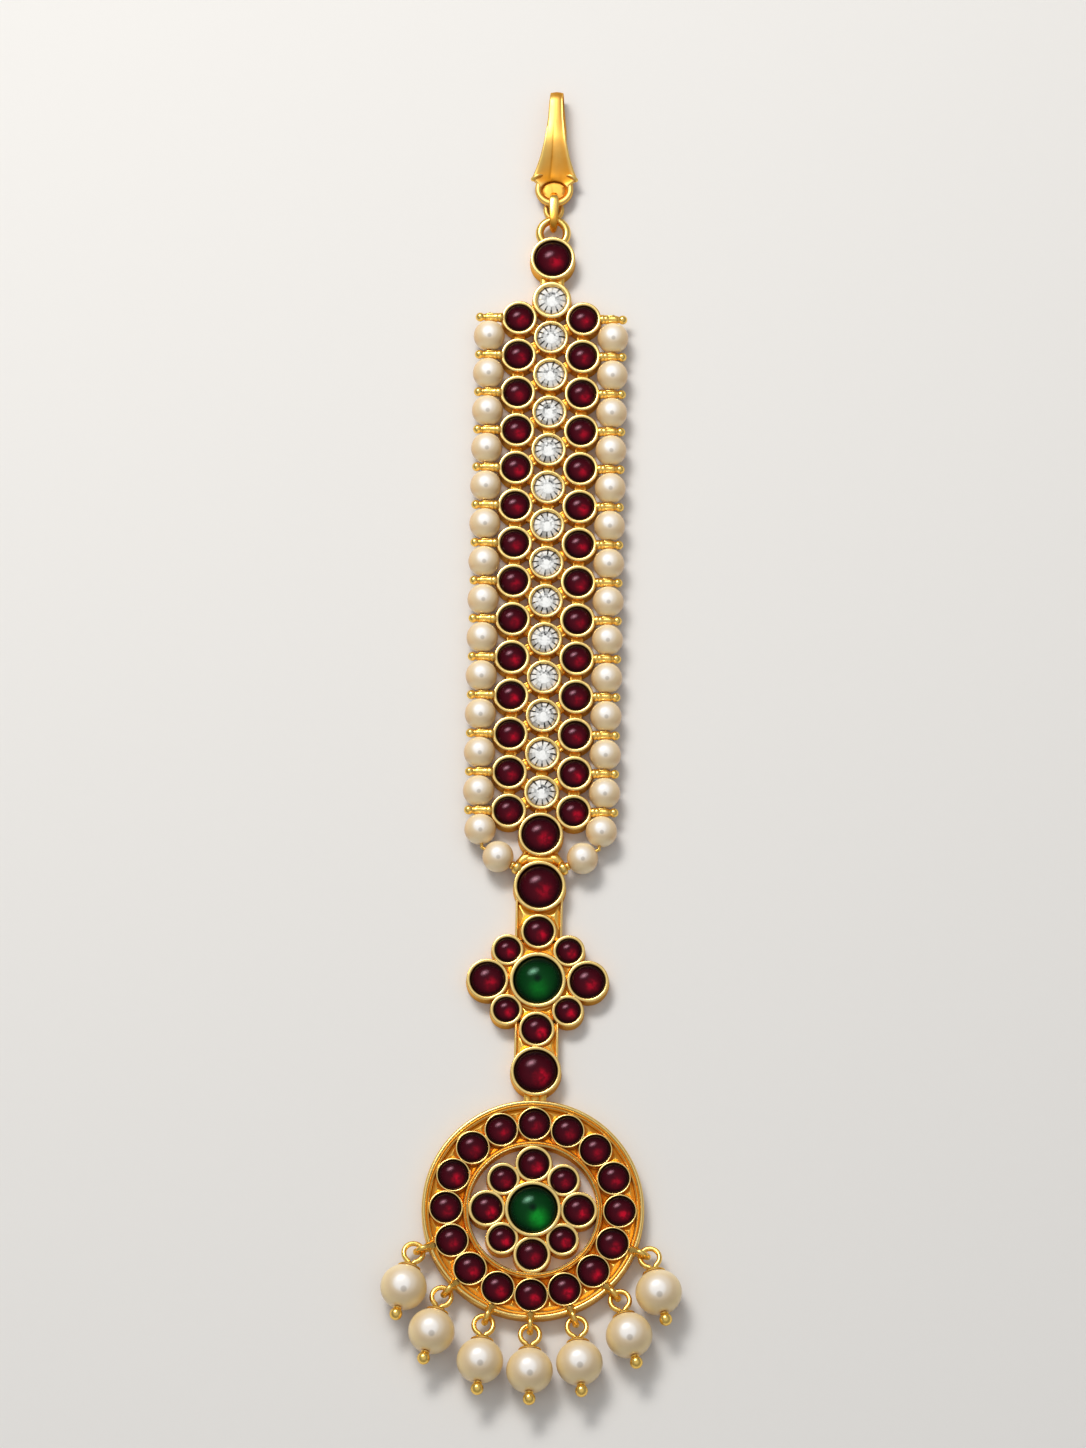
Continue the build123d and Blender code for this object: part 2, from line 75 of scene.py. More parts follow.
def stones_in(node):
    """Every loose solid of a CAD node, in millimetres, ordered up the ornament."""
    soup = bmesh.new()
    soup.from_mesh(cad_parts[node].data)
    bmesh.ops.remove_doubles(soup, verts=soup.verts, dist=1e-6)
    soup.verts.ensure_lookup_table()
    seen = [False] * len(soup.verts)
    found = []
    for first in soup.verts:
        if seen[first.index]:
            continue
        seen[first.index] = True
        waiting, island = [first], []
        while waiting:
            vert = waiting.pop()
            island.append(vert.co / MM)
            for edge in vert.link_edges:
                other = edge.other_vert(vert)
                if not seen[other.index]:
                    seen[other.index] = True
                    waiting.append(other)
        xs, ys, zs = ([p[i] for p in island] for i in range(3))
        centre = ((min(xs) + max(xs)) / 2, (min(ys) + max(ys)) / 2)
        found.append(Stone(*centre, (max(ys) - min(ys)) / 2, min(zs), max(zs)))
    soup.free()
    return sorted(found, key=lambda stone: (round(stone.y, 2), round(stone.x, 2)))


# ------------ building shapes
class Casting:
    """One piece while it is built up. Its finish reads a mark at each point, or at each face where
    face_marks is filled: one number, such as how far metal is polished together with its painted
    highlight and shade, or three."""

    def __init__(self):
        self.points, self.faces, self.marks, self.flat, self.face_marks = [], [], [], [], []

    def add(self, shape, place=Matrix(), flat=False):
        points, faces, marks = shape
        start = len(self.points)
        self.points += [place @ Vector(p) for p in points]
        self.faces += [tuple(start + i for i in face) for face in faces]
        self.marks += marks
        self.flat += [flat] * len(faces)

    def finish(self, name, material, slot, *nodes, crease_deg=48):
        mesh = bpy.data.meshes.new(name)
        mesh.from_pydata([p * MM for p in self.points], [], self.faces)
        mesh.polygons.foreach_set("use_smooth", [not f for f in self.flat])
        on_faces = bool(self.face_marks)
        marks = self.face_marks if on_faces else self.marks
        attribute = mesh.attributes.new("mark", "FLOAT_VECTOR", "FACE" if on_faces else "POINT")
        triples = (mark if isinstance(mark, tuple) else (mark, 0, 0) for mark in marks)
        attribute.data.foreach_set("vector", [number for triple in triples for number in triple])
        soup = bmesh.new()
        soup.from_mesh(mesh)
        bmesh.ops.recalc_face_normals(soup, faces=soup.faces)
        soup.to_mesh(mesh)
        soup.free()
        mesh.set_sharp_from_angle(angle=radians(crease_deg))
        mesh.materials.append(material)
        piece = bpy.data.objects.new(name, mesh)
        bpy.context.scene.collection.objects.link(piece)
        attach(piece, "root")
        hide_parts(*nodes)


def stitched(rings, closed=False):
    """Faces between each ring of point numbers and the next one, and back to the first if closed."""
    faces = []
    for low, high in zip(rings, rings[1:] + rings[:1] if closed else rings[1:]):
        for i in range(len(low)):
            j = (i + 1) % len(low)
            corners = tuple(dict.fromkeys((low[i], low[j], high[j], high[i])))
            if len(corners) > 2:
                faces.append(corners)
    return faces


def even_rings(ring_count, sides):
    """Point numbers of rings that were laid down one after another."""
    return [range(k * sides, (k + 1) * sides) for k in range(ring_count)]


def turned(profile, sides, closed=False):
    """A shape turned about z. The profile is (radius, height, mark) from the bottom of the axis
    to its top, or a closed loop for a ring. The mark is how far the metal is polished, and also its
    painted highlight and shade."""
    points, marks, rings = [], [], []
    for radius, height, polish_and_shading in profile:
        count = 1 if radius < 1e-6 else sides
        turns = [tau * i / sides for i in range(count)]
        rings.append([len(points) + i % count for i in range(sides)])
        points += [(radius * cos(turn), radius * sin(turn), height) for turn in turns]
        marks += [polish_and_shading] * count
    return points, stitched(rings, closed), marks


def at(x, y, z=0.0):
    return Matrix.Translation((x, y, z))


def aimed(centre, direction):
    """A placing matrix whose z points along direction and whose y leans upwards."""
    z_axis = Vector(direction).normalized()
    x_axis = UP.cross(z_axis)
    x_axis = x_axis.normalized() if x_axis.length > 1e-6 else Vector((1, 0, 0))
    y_axis = z_axis.cross(x_axis)
    turn = Matrix((x_axis, y_axis, z_axis)).transposed().to_4x4()
    return Matrix.Translation(centre) @ turn


def ball_profile(radius, count, centre=0.0, polish_and_shading=1.0):
    steps = [pi * i / count for i in range(count + 1)]
    return [(radius * sin(s) if 0 < s < pi else 0.0, centre - radius * cos(s), polish_and_shading) for s in steps]


def ball(radius, sides, polish_and_shading):
    return turned(ball_profile(radius, sides // 2, polish_and_shading=polish_and_shading), sides)


ROUND_END = ((0.97, 0.25), (0.72, 0.7), (0.3, 0.95))  # a wire's end: how far out and how wide, by radius


def wire(path, radius, sides, polish_and_shading, closed=False, flatten=1.0):
    """Round wire along a path, with rounded ends. The radius is one number or one for each point;
    flatten squeezes the wire across the path's own plane."""
    path = [Vector(p) for p in path]
    radii = radius if isinstance(radius, list) else [radius] * len(path)
    if not closed:
        first, last = (path[1] - path[0]).normalized(), (path[-1] - path[-2]).normalized()
        head = [(path[0] - first * radii[0] * out, radii[0] * size) for out, size in ROUND_END]
        tail = [(path[-1] + last * radii[-1] * out, radii[-1] * size) for out, size in ROUND_END]
        path = [p for p, _ in head] + path + [p for p, _ in reversed(tail)]
        radii = [r for _, r in head] + radii + [r for _, r in reversed(tail)]
    count = len(path)
    side = None
    points = []
    for k, centre in enumerate(path):
        before = path[k - 1] if closed or k else path[k]
        after = path[(k + 1) % count] if closed or k < count - 1 else path[k]
        along = (after - before).normalized()
        if side is None:
            side = UP.cross(along) if abs(along.z) < 0.9 else along.orthogonal()
            side.normalize()
        side = (side - along * side.dot(along)).normalized()
        up = along.cross(side)
        for i in range(sides):
            turn = tau * i / sides
            offset = side * cos(turn) + up * (sin(turn) * flatten)
            points.append(centre + offset * radii[k])
    rings = even_rings(count, sides)
    faces = stitched(rings, closed)
    if not closed:
        faces += [tuple(reversed(rings[0])), tuple(rings[-1])]
    return points, faces, [polish_and_shading] * len(points)


def arc(centre, radius, start_deg, end_deg, count, x_axis=Vector((1, 0, 0)), y_axis=Vector((0, 1, 0))):
    """Points on an arc in the plane of two axes. A full turn leaves out its last point."""
    whole = abs(abs(end_deg - start_deg) - 360) < 1e-6
    steps = count if whole else count - 1
    turns = [radians(start_deg + (end_deg - start_deg) * i / steps) for i in range(count)]
    across, up = (radius, radius) if isinstance(radius, (int, float)) else radius
    return [Vector(centre) + x_axis * (across * cos(t)) + y_axis * (up * sin(t)) for t in turns]


def slab(corner, opposite, low, high, bevel, polish_and_shading):
    """A rectangular plate with a bevelled top edge, between two corners in plan."""
    (x1, y1), (x2, y2) = corner, opposite
    outline = [(x1, y1), (x2, y1), (x2, y2), (x1, y2)]
    cx, cy = (x1 + x2) / 2, (y1 + y2) / 2

    def inset(x, y):
        stay = 1 - 1.4 * bevel / max(hypot(x - cx, y - cy), bevel * 3)
        return cx + (x - cx) * stay, cy + (y - cy) * stay

    points = [(x, y, low) for x, y in outline] + [(x, y, high - bevel) for x, y in outline]
    points += [(*inset(x, y), high) for x, y in outline]
    rings = even_rings(3, 4)
    faces = [tuple(reversed(rings[0])), tuple(rings[-1]), *stitched(rings)]
    return points, faces, [shine for shine in (0.0, polish_and_shading + 0.3, polish_and_shading) for _ in outline]


def leaf(corners, low, rim, peak, pinches):
    """A small three-sided boss with ridged corners that rises to a point, as in pierced and filled
    work. Each side is drawn in towards the middle by its own pinch."""
    steps = 7
    cx, cy = sum(c[0] for c in corners) / 3, sum(c[1] for c in corners) / 3
    outline = []
    for k, pinch in enumerate(pinches):
        (x1, y1), (x2, y2) = corners[k], corners[(k + 1) % 3]
        for i in range(steps):
            t = i / steps
            x, y = x1 + (x2 - x1) * t, y1 + (y2 - y1) * t
            pull = pinch * 4 * t * (1 - t)
            outline.append((x + (cx - x) * pull, y + (cy - y) * pull))
    count = len(outline)
    points = [(x, y, low) for x, y in outline] + [(x, y, rim) for x, y in outline]
    for share, height in ((0.72, rim + (peak - rim) * 0.25), (0.3, rim + (peak - rim) * 0.75)):
        points += [(cx + (x - cx) * share, cy + (y - cy) * share, height) for x, y in outline]
    points.append((cx, cy, peak))
    rings = [*even_rings(4, count), [4 * count] * count]
    marks = [polish_and_shading for polish_and_shading in (0.1, 0.45, 0.6, 0.85) for _ in outline] + [1.0]
    return points, [tuple(reversed(rings[0])), *stitched(rings)], marks


# ------------ finishes
class Bench:
    """Short calls for laying out nodes in one tree."""

    def __init__(self, tree):
        self.tree = tree

    def node(self, kind, inputs=(), **settings):
        made = self.tree.nodes.new("ShaderNode" + kind if not kind.startswith("Node") else kind)
        for key, value in settings.items():
            setattr(made, key, value)
        for key, value in dict(inputs).items():
            self.feed(made.inputs[key], value)
        return made

    def feed(self, socket, value):
        if isinstance(value, bpy.types.NodeSocket):
            self.tree.links.new(value, socket)
        else:
            socket.default_value = value

    def maths(self, operation, a, b=0.0, c=0.0, clamp=False):
        return self.node("Math", {0: a, 1: b, 2: c}, operation=operation, use_clamp=clamp).outputs[0]

    def times(self, a, b, clamp=False):
        return self.maths("MULTIPLY", a, b, clamp=clamp)

    def vector(self, operation, *vectors):
        made = self.node("VectorMath", dict(enumerate(vectors)), operation=operation)
        return made.outputs["Vector" if operation in ("ADD", "NORMALIZE") else "Value"]

    def split(self, vector):
        return self.node("SeparateXYZ", {0: vector}).outputs

    def blend(self, share, a, b):
        """A mix of two colours; its colour sockets are the seventh and eighth."""
        return self.node("Mix", {0: share, 6: a, 7: b}, data_type="RGBA").outputs[2]

    def between(self, value, low, high, out_low=0.0, out_high=1.0):
        """A smooth step of value from low to high, put out between two numbers."""
        step = {"Value": value, "From Min": low, "From Max": high, "To Min": out_low, "To Max": out_high}
        return self.node("MapRange", step, interpolation_type="SMOOTHSTEP").outputs[0]

    def noise(self, scale, detail=2.0, stretch=None):
        """Noise that stays with the piece, in features per metre."""
        coords = self.node("TexCoord").outputs["Object"]
        if stretch:
            coords = self.node("Mapping", {"Vector": coords, "Scale": stretch}).outputs[0]
        made = self.node("TexNoise", {"Vector": coords, "Scale": scale, "Detail": detail})
        return made.outputs["Fac"]


def new_group(name, inputs, outputs):
    """A shader group with named inputs and outputs by kind, its bench, and the values it is given."""
    group = bpy.data.node_groups.new(name, "ShaderNodeTree")
    for way, sockets in (("INPUT", inputs), ("OUTPUT", outputs)):
        for kind, labels in sockets.items():
            for label in labels:
                group.interface.new_socket(label, in_out=way, socket_type="NodeSocket" + kind)
    bench = Bench(group)
    return group, bench, bench.node("NodeGroupInput").outputs


SKIN_OUTPUTS = {"Color": ("Color",), "Float": ("Roughness", "Height")}


def gold_skin_group():
    """Gold over cast metal: rougher in the hollows and deeper in colour there, partly as painted shade;
    brighter and paler where it is polished, partly as a painted highlight; with a cast grain and fine
    scuffs."""
    numbers = ("Polish", "Crest Roughness", "Hollow Roughness", "Grain")
    inputs = {"Float": numbers, "Color": ("Crest", "Hollow")}
    group, bench, given = new_group("gold_skin", inputs, SKIN_OUTPUTS)
    cloud = bench.noise(420.0, 3.0)
    fine = bench.noise(5200.0, 3.0)
    scuff = bench.noise(1500.0, 4.0, stretch=(1.0, 0.22, 1.0))
    # the mark is polish and painted shading: high gives the paler crest colour and a painted highlight, low
    # the deeper hollow colour and painted shade
    level = bench.maths("SUBTRACT", given["Polish"], 0.175)
    wear_and_shading = bench.maths("MULTIPLY_ADD", cloud, 0.35, level, clamp=True)
    color = bench.blend(wear_and_shading, given["Hollow"], given["Crest"])
    ends = {"To Min": given["Hollow Roughness"], "To Max": given["Crest Roughness"]}
    rough = bench.node("MapRange", {"Value": wear_and_shading, **ends}).outputs[0]
    scuffed = bench.maths("MULTIPLY_ADD", bench.between(scuff, 0.5, 0.72), 0.1, rough, clamp=True)
    cast = bench.times(fine, bench.maths("SUBTRACT", 1.15, wear_and_shading))
    height = bench.times(cast, given["Grain"])
    bench.node("NodeGroupOutput", {"Color": color, "Roughness": scuffed, "Height": height})
    return group


def stone_heart_group():
    """Closed-back glass stone: painted shade at the edge and on the far side, body colour within, a broad
    painted glow low down, and a mottled painted glow low on one side that also shines as emission. The
    mark is (place across the stone in x and y, how strongly it glows)."""
    inputs = {
        "Vector": ("Mark", "Glow Place"), "Color": ("Edge", "Body", "Bloom", "Middle", "Glow"),
        "Float": ("Heart", "Mottle", "Glow Size"),
    }
    group, bench, given = new_group("stone_heart", inputs, {"Color": ("Color", "Light")})
    x, y, chance = bench.split(given["Mark"])
    flat = bench.node("CombineXYZ", {0: x, 1: y}).outputs[0]
    out_from_middle = bench.vector("LENGTH", flat)

    def spot(place, size):
        """A soft round spot: 1 in its middle, 0 from its edge on."""
        return bench.between(bench.maths("DIVIDE", bench.vector("DISTANCE", flat, place), size), 1.0, 0.0)

    drift = bench.node("CombineXYZ", {0: bench.maths("MULTIPLY_ADD", chance, 0.22, -0.11)}).outputs[0]
    glow_place = bench.vector("ADD", given["Glow Place"], drift)
    patches = bench.between(bench.noise(1500.0), 0.36, 0.64, -0.65, 0.45)
    cloud = bench.maths("MULTIPLY_ADD", patches, given["Mottle"], 1.0)
    # painted shade towards the stone's edge, and on its far side below
    rim = bench.between(out_from_middle, 1.0, 0.64)
    shade = bench.times(bench.between(y, 0.35, 0.95), 0.85)
    color = bench.blend(rim, given["Edge"], given["Body"])
    # a broad painted glow low down, and a darker middle tone
    bloom = bench.times(spot((0.1, -0.3, 0), 0.85), 0.9)
    color = bench.blend(bench.times(bloom, rim, clamp=True), color, given["Bloom"])
    color = bench.blend(bench.times(spot((-0.06, 0.04, 0), 0.5), 0.75), color, given["Middle"])
    # the mottled painted glow low on one side, as strong as the mark says
    strength = bench.between(chance, 0.0, 1.0, 0.35, 1.15)
    peak = bench.times(bench.maths("POWER", spot(glow_place, given["Glow Size"]), 1.7), cloud)
    glow = bench.times(peak, strength, clamp=True)
    color = bench.blend(glow, color, given["Glow"])
    heart = bench.times(bench.maths("POWER", spot((0.0, 0.0, 0), 0.21), 0.5), given["Heart"])
    color = bench.blend(bench.maths("MAXIMUM", heart, shade), color, given["Edge"])
    # the painted glow also shines as emission, though the stone is no lamp
    light = bench.blend(bench.times(glow, 0.6), (0, 0, 0, 1), given["Glow"])
    bench.node("NodeGroupOutput", {"Color": color, "Light": light})
    return group


def nacre_group():
    """Pearl skin that warms from a white crown, a painted highlight, through cream and peach to honey at
    the sides and a deeper tone underneath, which are painted shade and warm reflection, paler at the two
    ends as a painted reflection of the gold beside them, with faint clouds and a small fleck by the crown
    that is a painted dark reflection. The mark is the direction that each point faces."""
    tones = ("Crown", "Cream", "Peach", "Honey", "Under", "Fleck", "End Tone")
    inputs = {"Vector": ("Mark",), "Float": ("Ends",), "Color": tones}
    group, bench, given = new_group("nacre", inputs, SKIN_OUTPUTS)
    mark = bench.vector("NORMALIZE", given["Mark"])

    def towards(direction):
        return bench.vector("DOT_PRODUCT", mark, direction)

    cloud = bench.noise(330.0, 3.0)
    facing = bench.maths("MULTIPLY_ADD", cloud, 0.08, bench.maths("SUBTRACT", towards((0, 0.1, 0.995)), 0.04))
    # painted shade and warm reflection: honey at the sides and a deeper tone underneath
    color = bench.blend(bench.between(facing, -0.55, 0.5), given["Under"], given["Honey"])
    color = bench.blend(bench.between(facing, 0.4, 0.8), color, given["Peach"])
    color = bench.blend(bench.between(facing, 0.76, 0.97), color, given["Cream"])
    # painted highlight: the white crown
    color = bench.blend(bench.between(towards((-0.07, 0.04, 0.997)), 0.9, 0.985), color, given["Crown"])
    # painted reflection of the gold beside the pearl, paler towards the two ends
    ends = bench.between(bench.maths("ABSOLUTE", towards((0, 1, 0))), 0.45, 0.85)
    color = bench.blend(bench.times(ends, given["Ends"]), color, given["End Tone"])
    # a small dark painted reflection by the crown
    dark_reflection = bench.times(bench.between(towards((0.02, -0.25, 0.968)), 0.984, 0.999), 0.5)
    color = bench.blend(dark_reflection, color, given["Fleck"])
    rough = bench.between(cloud, 0.35, 0.65, 0.3, 0.38)
    height = bench.noise(1400.0)
    bench.node("NodeGroupOutput", {"Color": color, "Roughness": rough, "Height": height})
    return group


def linear(hex_code):
    """A #RRGGBB colour as linear RGBA."""
    parts = [int(hex_code[i : i + 2], 16) / 255 for i in (1, 3, 5)]
    return (*((c / 12.92 if c <= 0.04045 else ((c + 0.055) / 1.055) ** 2.4) for c in parts), 1.0)


def new_material(name, **constants):
    material = bpy.data.materials.new(name)
    material.use_nodes = True
    material.node_tree.nodes.clear()
    bench = Bench(material.node_tree)
    shader = bench.node("BsdfPrincipled")
    for label, value in constants.items():
        shader.inputs[label.replace("_", " ")].default_value = value
    out = bench.node("OutputMaterial")
    bench.feed(out.inputs["Surface"], shader.outputs[0])
    return material, bench, shader


def mark_of(bench):
    return bench.node("Attribute", attribute_name="mark").outputs["Vector"]


def first_mark(bench):
    return bench.split(mark_of(bench))[0]


def placed(bench, group, **values):
    """A shader group in a material, with its own values."""
    made = bench.node("Group", node_tree=group)
    for label, value in values.items():
        bench.feed(made.inputs[label.replace("_", " ")], value)
    return made.outputs


def bump(bench, shader, height, distance):
    made = bench.node("Bump", {"Height": height, "Distance": distance})
    bench.feed(shader.inputs["Normal"], made.outputs[0])


GOLD_SKIN, STONE_HEART, NACRE = gold_skin_group(), stone_heart_group(), nacre_group()


def gold(name, crest, hollow, crest_rough, hollow_rough, grain):
    material, bench, shader = new_material(name, Metallic=1.0, Specular_Tint=(1.0, 0.8, 0.45, 1))
    skin = placed(
        bench, GOLD_SKIN, Polish=first_mark(bench), Crest=linear(crest), Hollow=linear(hollow),
        Crest_Roughness=crest_rough, Hollow_Roughness=hollow_rough, Grain=grain,
    )
    bench.feed(shader.inputs["Base Color"], skin["Color"])
    bench.feed(shader.inputs["Roughness"], skin["Roughness"])
    bump(bench, shader, skin["Height"], 0.00006)
    return material


def stone(name, edge, body, bloom, middle_tone, glow, sheen, glow_place, glow_size, heart, mottle):
    # the emission lets the stone's painted glow shine
    material, bench, shader = new_material(
        name, Roughness=0.17, IOR=1.55, Specular_IOR_Level=0.2, Specular_Tint=sheen, Emission_Strength=0.2
    )
    inside = placed(
        bench, STONE_HEART, Mark=mark_of(bench), Edge=linear(edge), Body=linear(body),
        Bloom=linear(bloom), Middle=linear(middle_tone), Glow=linear(glow), Heart=heart,
        Glow_Place=(*glow_place, 0), Glow_Size=glow_size, Mottle=mottle,
    )
    bench.feed(shader.inputs["Base Color"], inside["Color"])
    bench.feed(shader.inputs["Emission Color"], inside["Light"])
    return material


def pearl_skin(name, cream, peach, honey, under, ends):
    material, bench, shader = new_material(name, IOR=1.6, Coat_Weight=0.4, Coat_Roughness=0.2)
    # the near-white crown is a painted highlight, the dark fleck colour a painted reflection, and the end
    # tone a painted reflection of the gold
    skin = placed(
        bench, NACRE, Mark=mark_of(bench), Crown=linear("#FFF9F2"), Cream=linear(cream),
        Peach=linear(peach), Honey=linear(honey), Under=linear(under), Fleck=linear("#8C7C66"),
        End_Tone=linear("#FFEEC4"), Ends=ends,
    )
    bench.feed(shader.inputs["Base Color"], skin["Color"])
    bench.feed(shader.inputs["Roughness"], skin["Roughness"])
    bump(bench, shader, skin["Height"], 0.00001)
    return material


def crystal_glass():
    """Foil-backed cut glass: each facet's colour is a painted reflection, mirroring the foil more or
    less brightly.
    """
    material, bench, shader = new_material(
        "crystal", Roughness=0.06, IOR=1.6, Coat_Weight=0.5, Coat_Roughness=0.02
    )
    cloud = bench.between(bench.noise(2600.0), 0.3, 0.7, -0.08, 0.08)
    tone = bench.maths("ADD", first_mark(bench), cloud, clamp=True)
    color = bench.blend(tone, linear("#141414"), linear("#FBFBF8"))
    bench.feed(shader.inputs["Base Color"], color)
    return material


# each gold: the colours of its crests and hollows, pale on the crests partly as a painted highlight
# and deep in the hollows partly as painted shade, how rough each is, and the strength of its grain
RIM_GOLD = gold("rim_gold", "#FFDC8A", "#E2A442", 0.24, 0.4, 0.35)
CAST_GOLD = gold("cast_gold", "#FFD470", "#E6A438", 0.3, 0.44, 0.8)
WIRE_GOLD = gold("wire_gold", "#FFD674", "#E2A03A", 0.24, 0.38, 0.2)
HOOK_GOLD = gold("hook_gold", "#FFD97E", "#D48C20", 0.42, 0.54, 0.06)
RUBY = stone(
    "ruby", edge="#080001", body="#3A000A", bloom="#52000F", middle_tone="#2E020C", glow="#BC0424",
    sheen=(1.0, 0.5, 0.64, 1), glow_place=(0.26, -0.3), glow_size=0.64, heart=0.0, mottle=1.0,
)
EMERALD = stone(
    "emerald", edge="#000401", body="#003009", bloom="#00430A", middle_tone="#002C0A", glow="#0A8C24",
    sheen=(0.45, 1.0, 0.68, 1), glow_place=(0.14, -0.42), glow_size=0.7, heart=1.0, mottle=0.3,
)
CRYSTAL = crystal_glass()
EDGE_PEARL = pearl_skin(
    "edge_pearl", cream="#EEE0CC", peach="#E4CAA0", honey="#E6BE84", under="#BC8A52", ends=0.85
)
DROP_PEARL = pearl_skin(
    "drop_pearl", cream="#EADBC6", peach="#E0C69C", honey="#F2D69A", under="#C0945A", ends=0.35
)

# ------------ places
MEDALLION = middle("medallion_emerald")
FLOWER = middle("flower_emerald")
CUP_FLOOR = 0.7
PLATE_TOP = 1.2  # the medallion's sunk floor
SMALL_TOP, LARGE_TOP = 2.2, 2.5
POCKET_GAP = 0.05

# the width of the collet's wall and the level of its rim, a pair for each size of stone in a node,
# from the smallest stones up
WALLS = {
    "strip_crystals": [(0.41, SMALL_TOP), (0.56, SMALL_TOP)],
    "strip_rubies": [(0.44, SMALL_TOP)],
    "top_ruby": [(0.46, LARGE_TOP)],
    "base_ruby": [(0.42, LARGE_TOP)],
    "upper_ruby": [(0.46, LARGE_TOP)],
    "lower_ruby": [(0.43, LARGE_TOP)],
    "flower_emerald": [(0.47, LARGE_TOP)],
    "medallion_emerald": [(0.47, LARGE_TOP)],
    "flower_rubies": [(0.41, SMALL_TOP), (0.38, SMALL_TOP), (0.42, SMALL_TOP)],
    "medallion_petal_rubies": [(0.42, SMALL_TOP), (0.42, SMALL_TOP)],
    "medallion_rim_rubies": [(0.21, SMALL_TOP)],
}


Setting = namedtuple("Setting", "x y pocket outer top")


def settings_of(node):
    """The collets of a node's stones, sized from the stones."""
    stones = stones_in(node)
    sizes = sorted({round(stone.radius, 2) for stone in stones})
    made = []
    for stone in stones:
        wall, top = WALLS[node][min(range(len(sizes)), key=lambda i: abs(sizes[i] - stone.radius))]
        pocket = stone.radius + POCKET_GAP
        made.append(Setting(stone.x, stone.y, pocket, pocket + wall, top))
    return made


SETTINGS = {node: settings_of(node) for node in WALLS}


# ------------ collets and stones
def collet(pocket, outer, top):
    """A closed cup whose rounded rim is burnished a little way over the stone."""
    width = outer - pocket
    crown = [(0.0, -0.22, 0.4), (0.03, -0.1, 0.75), (0.12, -0.03, 0.95), (0.3, 0.0, 1.0)]
    crown += [(0.7, 0.0, 1.0), (0.92, -0.03, 1.0), (1.05, -0.1, 0.8), (1.12, -0.24, 0.3)]
    profile = [(0.0, 0.0, 0.0), (outer + 0.04, 0.0, 0.0), (outer + 0.06, 0.3, 0.05), (outer + 0.04, 0.7, 0.1)]
    profile += [(outer, top - 1.0, 0.15), (outer, top - 0.45, 0.3)]
    profile += [(outer - share * width, top + drop, polish_and_shading) for share, drop, polish_and_shading in crown]
    profile += [(pocket, top - 0.6, 0.0), (pocket, CUP_FLOOR, 0.0), (0.0, CUP_FLOOR, 0.0)]
    return turned(profile, 56)


def collets(name, nodes):
    casting = Casting()
    for node in nodes:
        for cup in SETTINGS[node]:
            outer = cup.outer + HAND.uniform(-0.015, 0.015)
            casting.add(collet(cup.pocket, outer, cup.top), at(cup.x, cup.y))
    casting.finish(name, RIM_GOLD, "gold", "frame")


def cabochon(radius, bottom, girdle, summit, chance):
    """A low dome; its marks say how far each point is across the stone."""
    profile = [(0.0, bottom, 0), (radius, bottom, 0), (radius, girdle, 0)]
    rise = summit - girdle
    curve = (radius**2 + rise**2) / (2 * rise)
    steps = 12
    for i in range(1, steps + 1):
        r = radius * cos(pi / 2 * i / steps) if i < steps else 0.0
        profile.append((r, summit - curve + sqrt(curve**2 - r**2), 0))
    points, faces, _ = turned(profile, 36)
    return points, faces, [(p[0] / radius, p[1] / radius, chance) for p in points]


# how strongly the painted glow lights up the single large stones, where it isn't left to chance
GLOW = {
    "flower_emerald": 0.1, "medallion_emerald": 1.0, "top_ruby": 0.25, "upper_ruby": 0.2, "lower_ruby": 0.55,
}
DIMMED = {"strip_rubies": 0.45, "medallion_rim_rubies": 0.65}  # rows that light up less
TIP_DEG = 1.6  # how far a stone may lean in its collet


def set_stones(node, material, slot):
    """Cabochons in their collets, each tipped a little by hand."""
    casting = Casting()
    for gem in stones_in(node):
        girdle = SETTINGS[node][0].top - 0.12 * gem.radius
        chance = GLOW.get(node, HAND.random() * DIMMED.get(node, 1.0))
        shape = cabochon(gem.radius, gem.low, girdle, gem.high, chance)
        tip = Matrix.Rotation(radians(HAND.uniform(-TIP_DEG, TIP_DEG)), 4, "X")
        tip = tip @ Matrix.Rotation(radians(HAND.uniform(-TIP_DEG, TIP_DEG)), 4, "Y")
        casting.add(shape, at(gem.x, gem.y, girdle) @ tip @ at(0, 0, -girdle))
    casting.finish(node + "_set", material, slot, node)


WEDGES = 12  # crown facets of a crystal
# the slices' brightness is a painted reflection, and so is the dark line between facets
SLICE_STARTS = (0.0, 0.38, 0.72)  # two bright slices of each wedge, then the dark line between facets


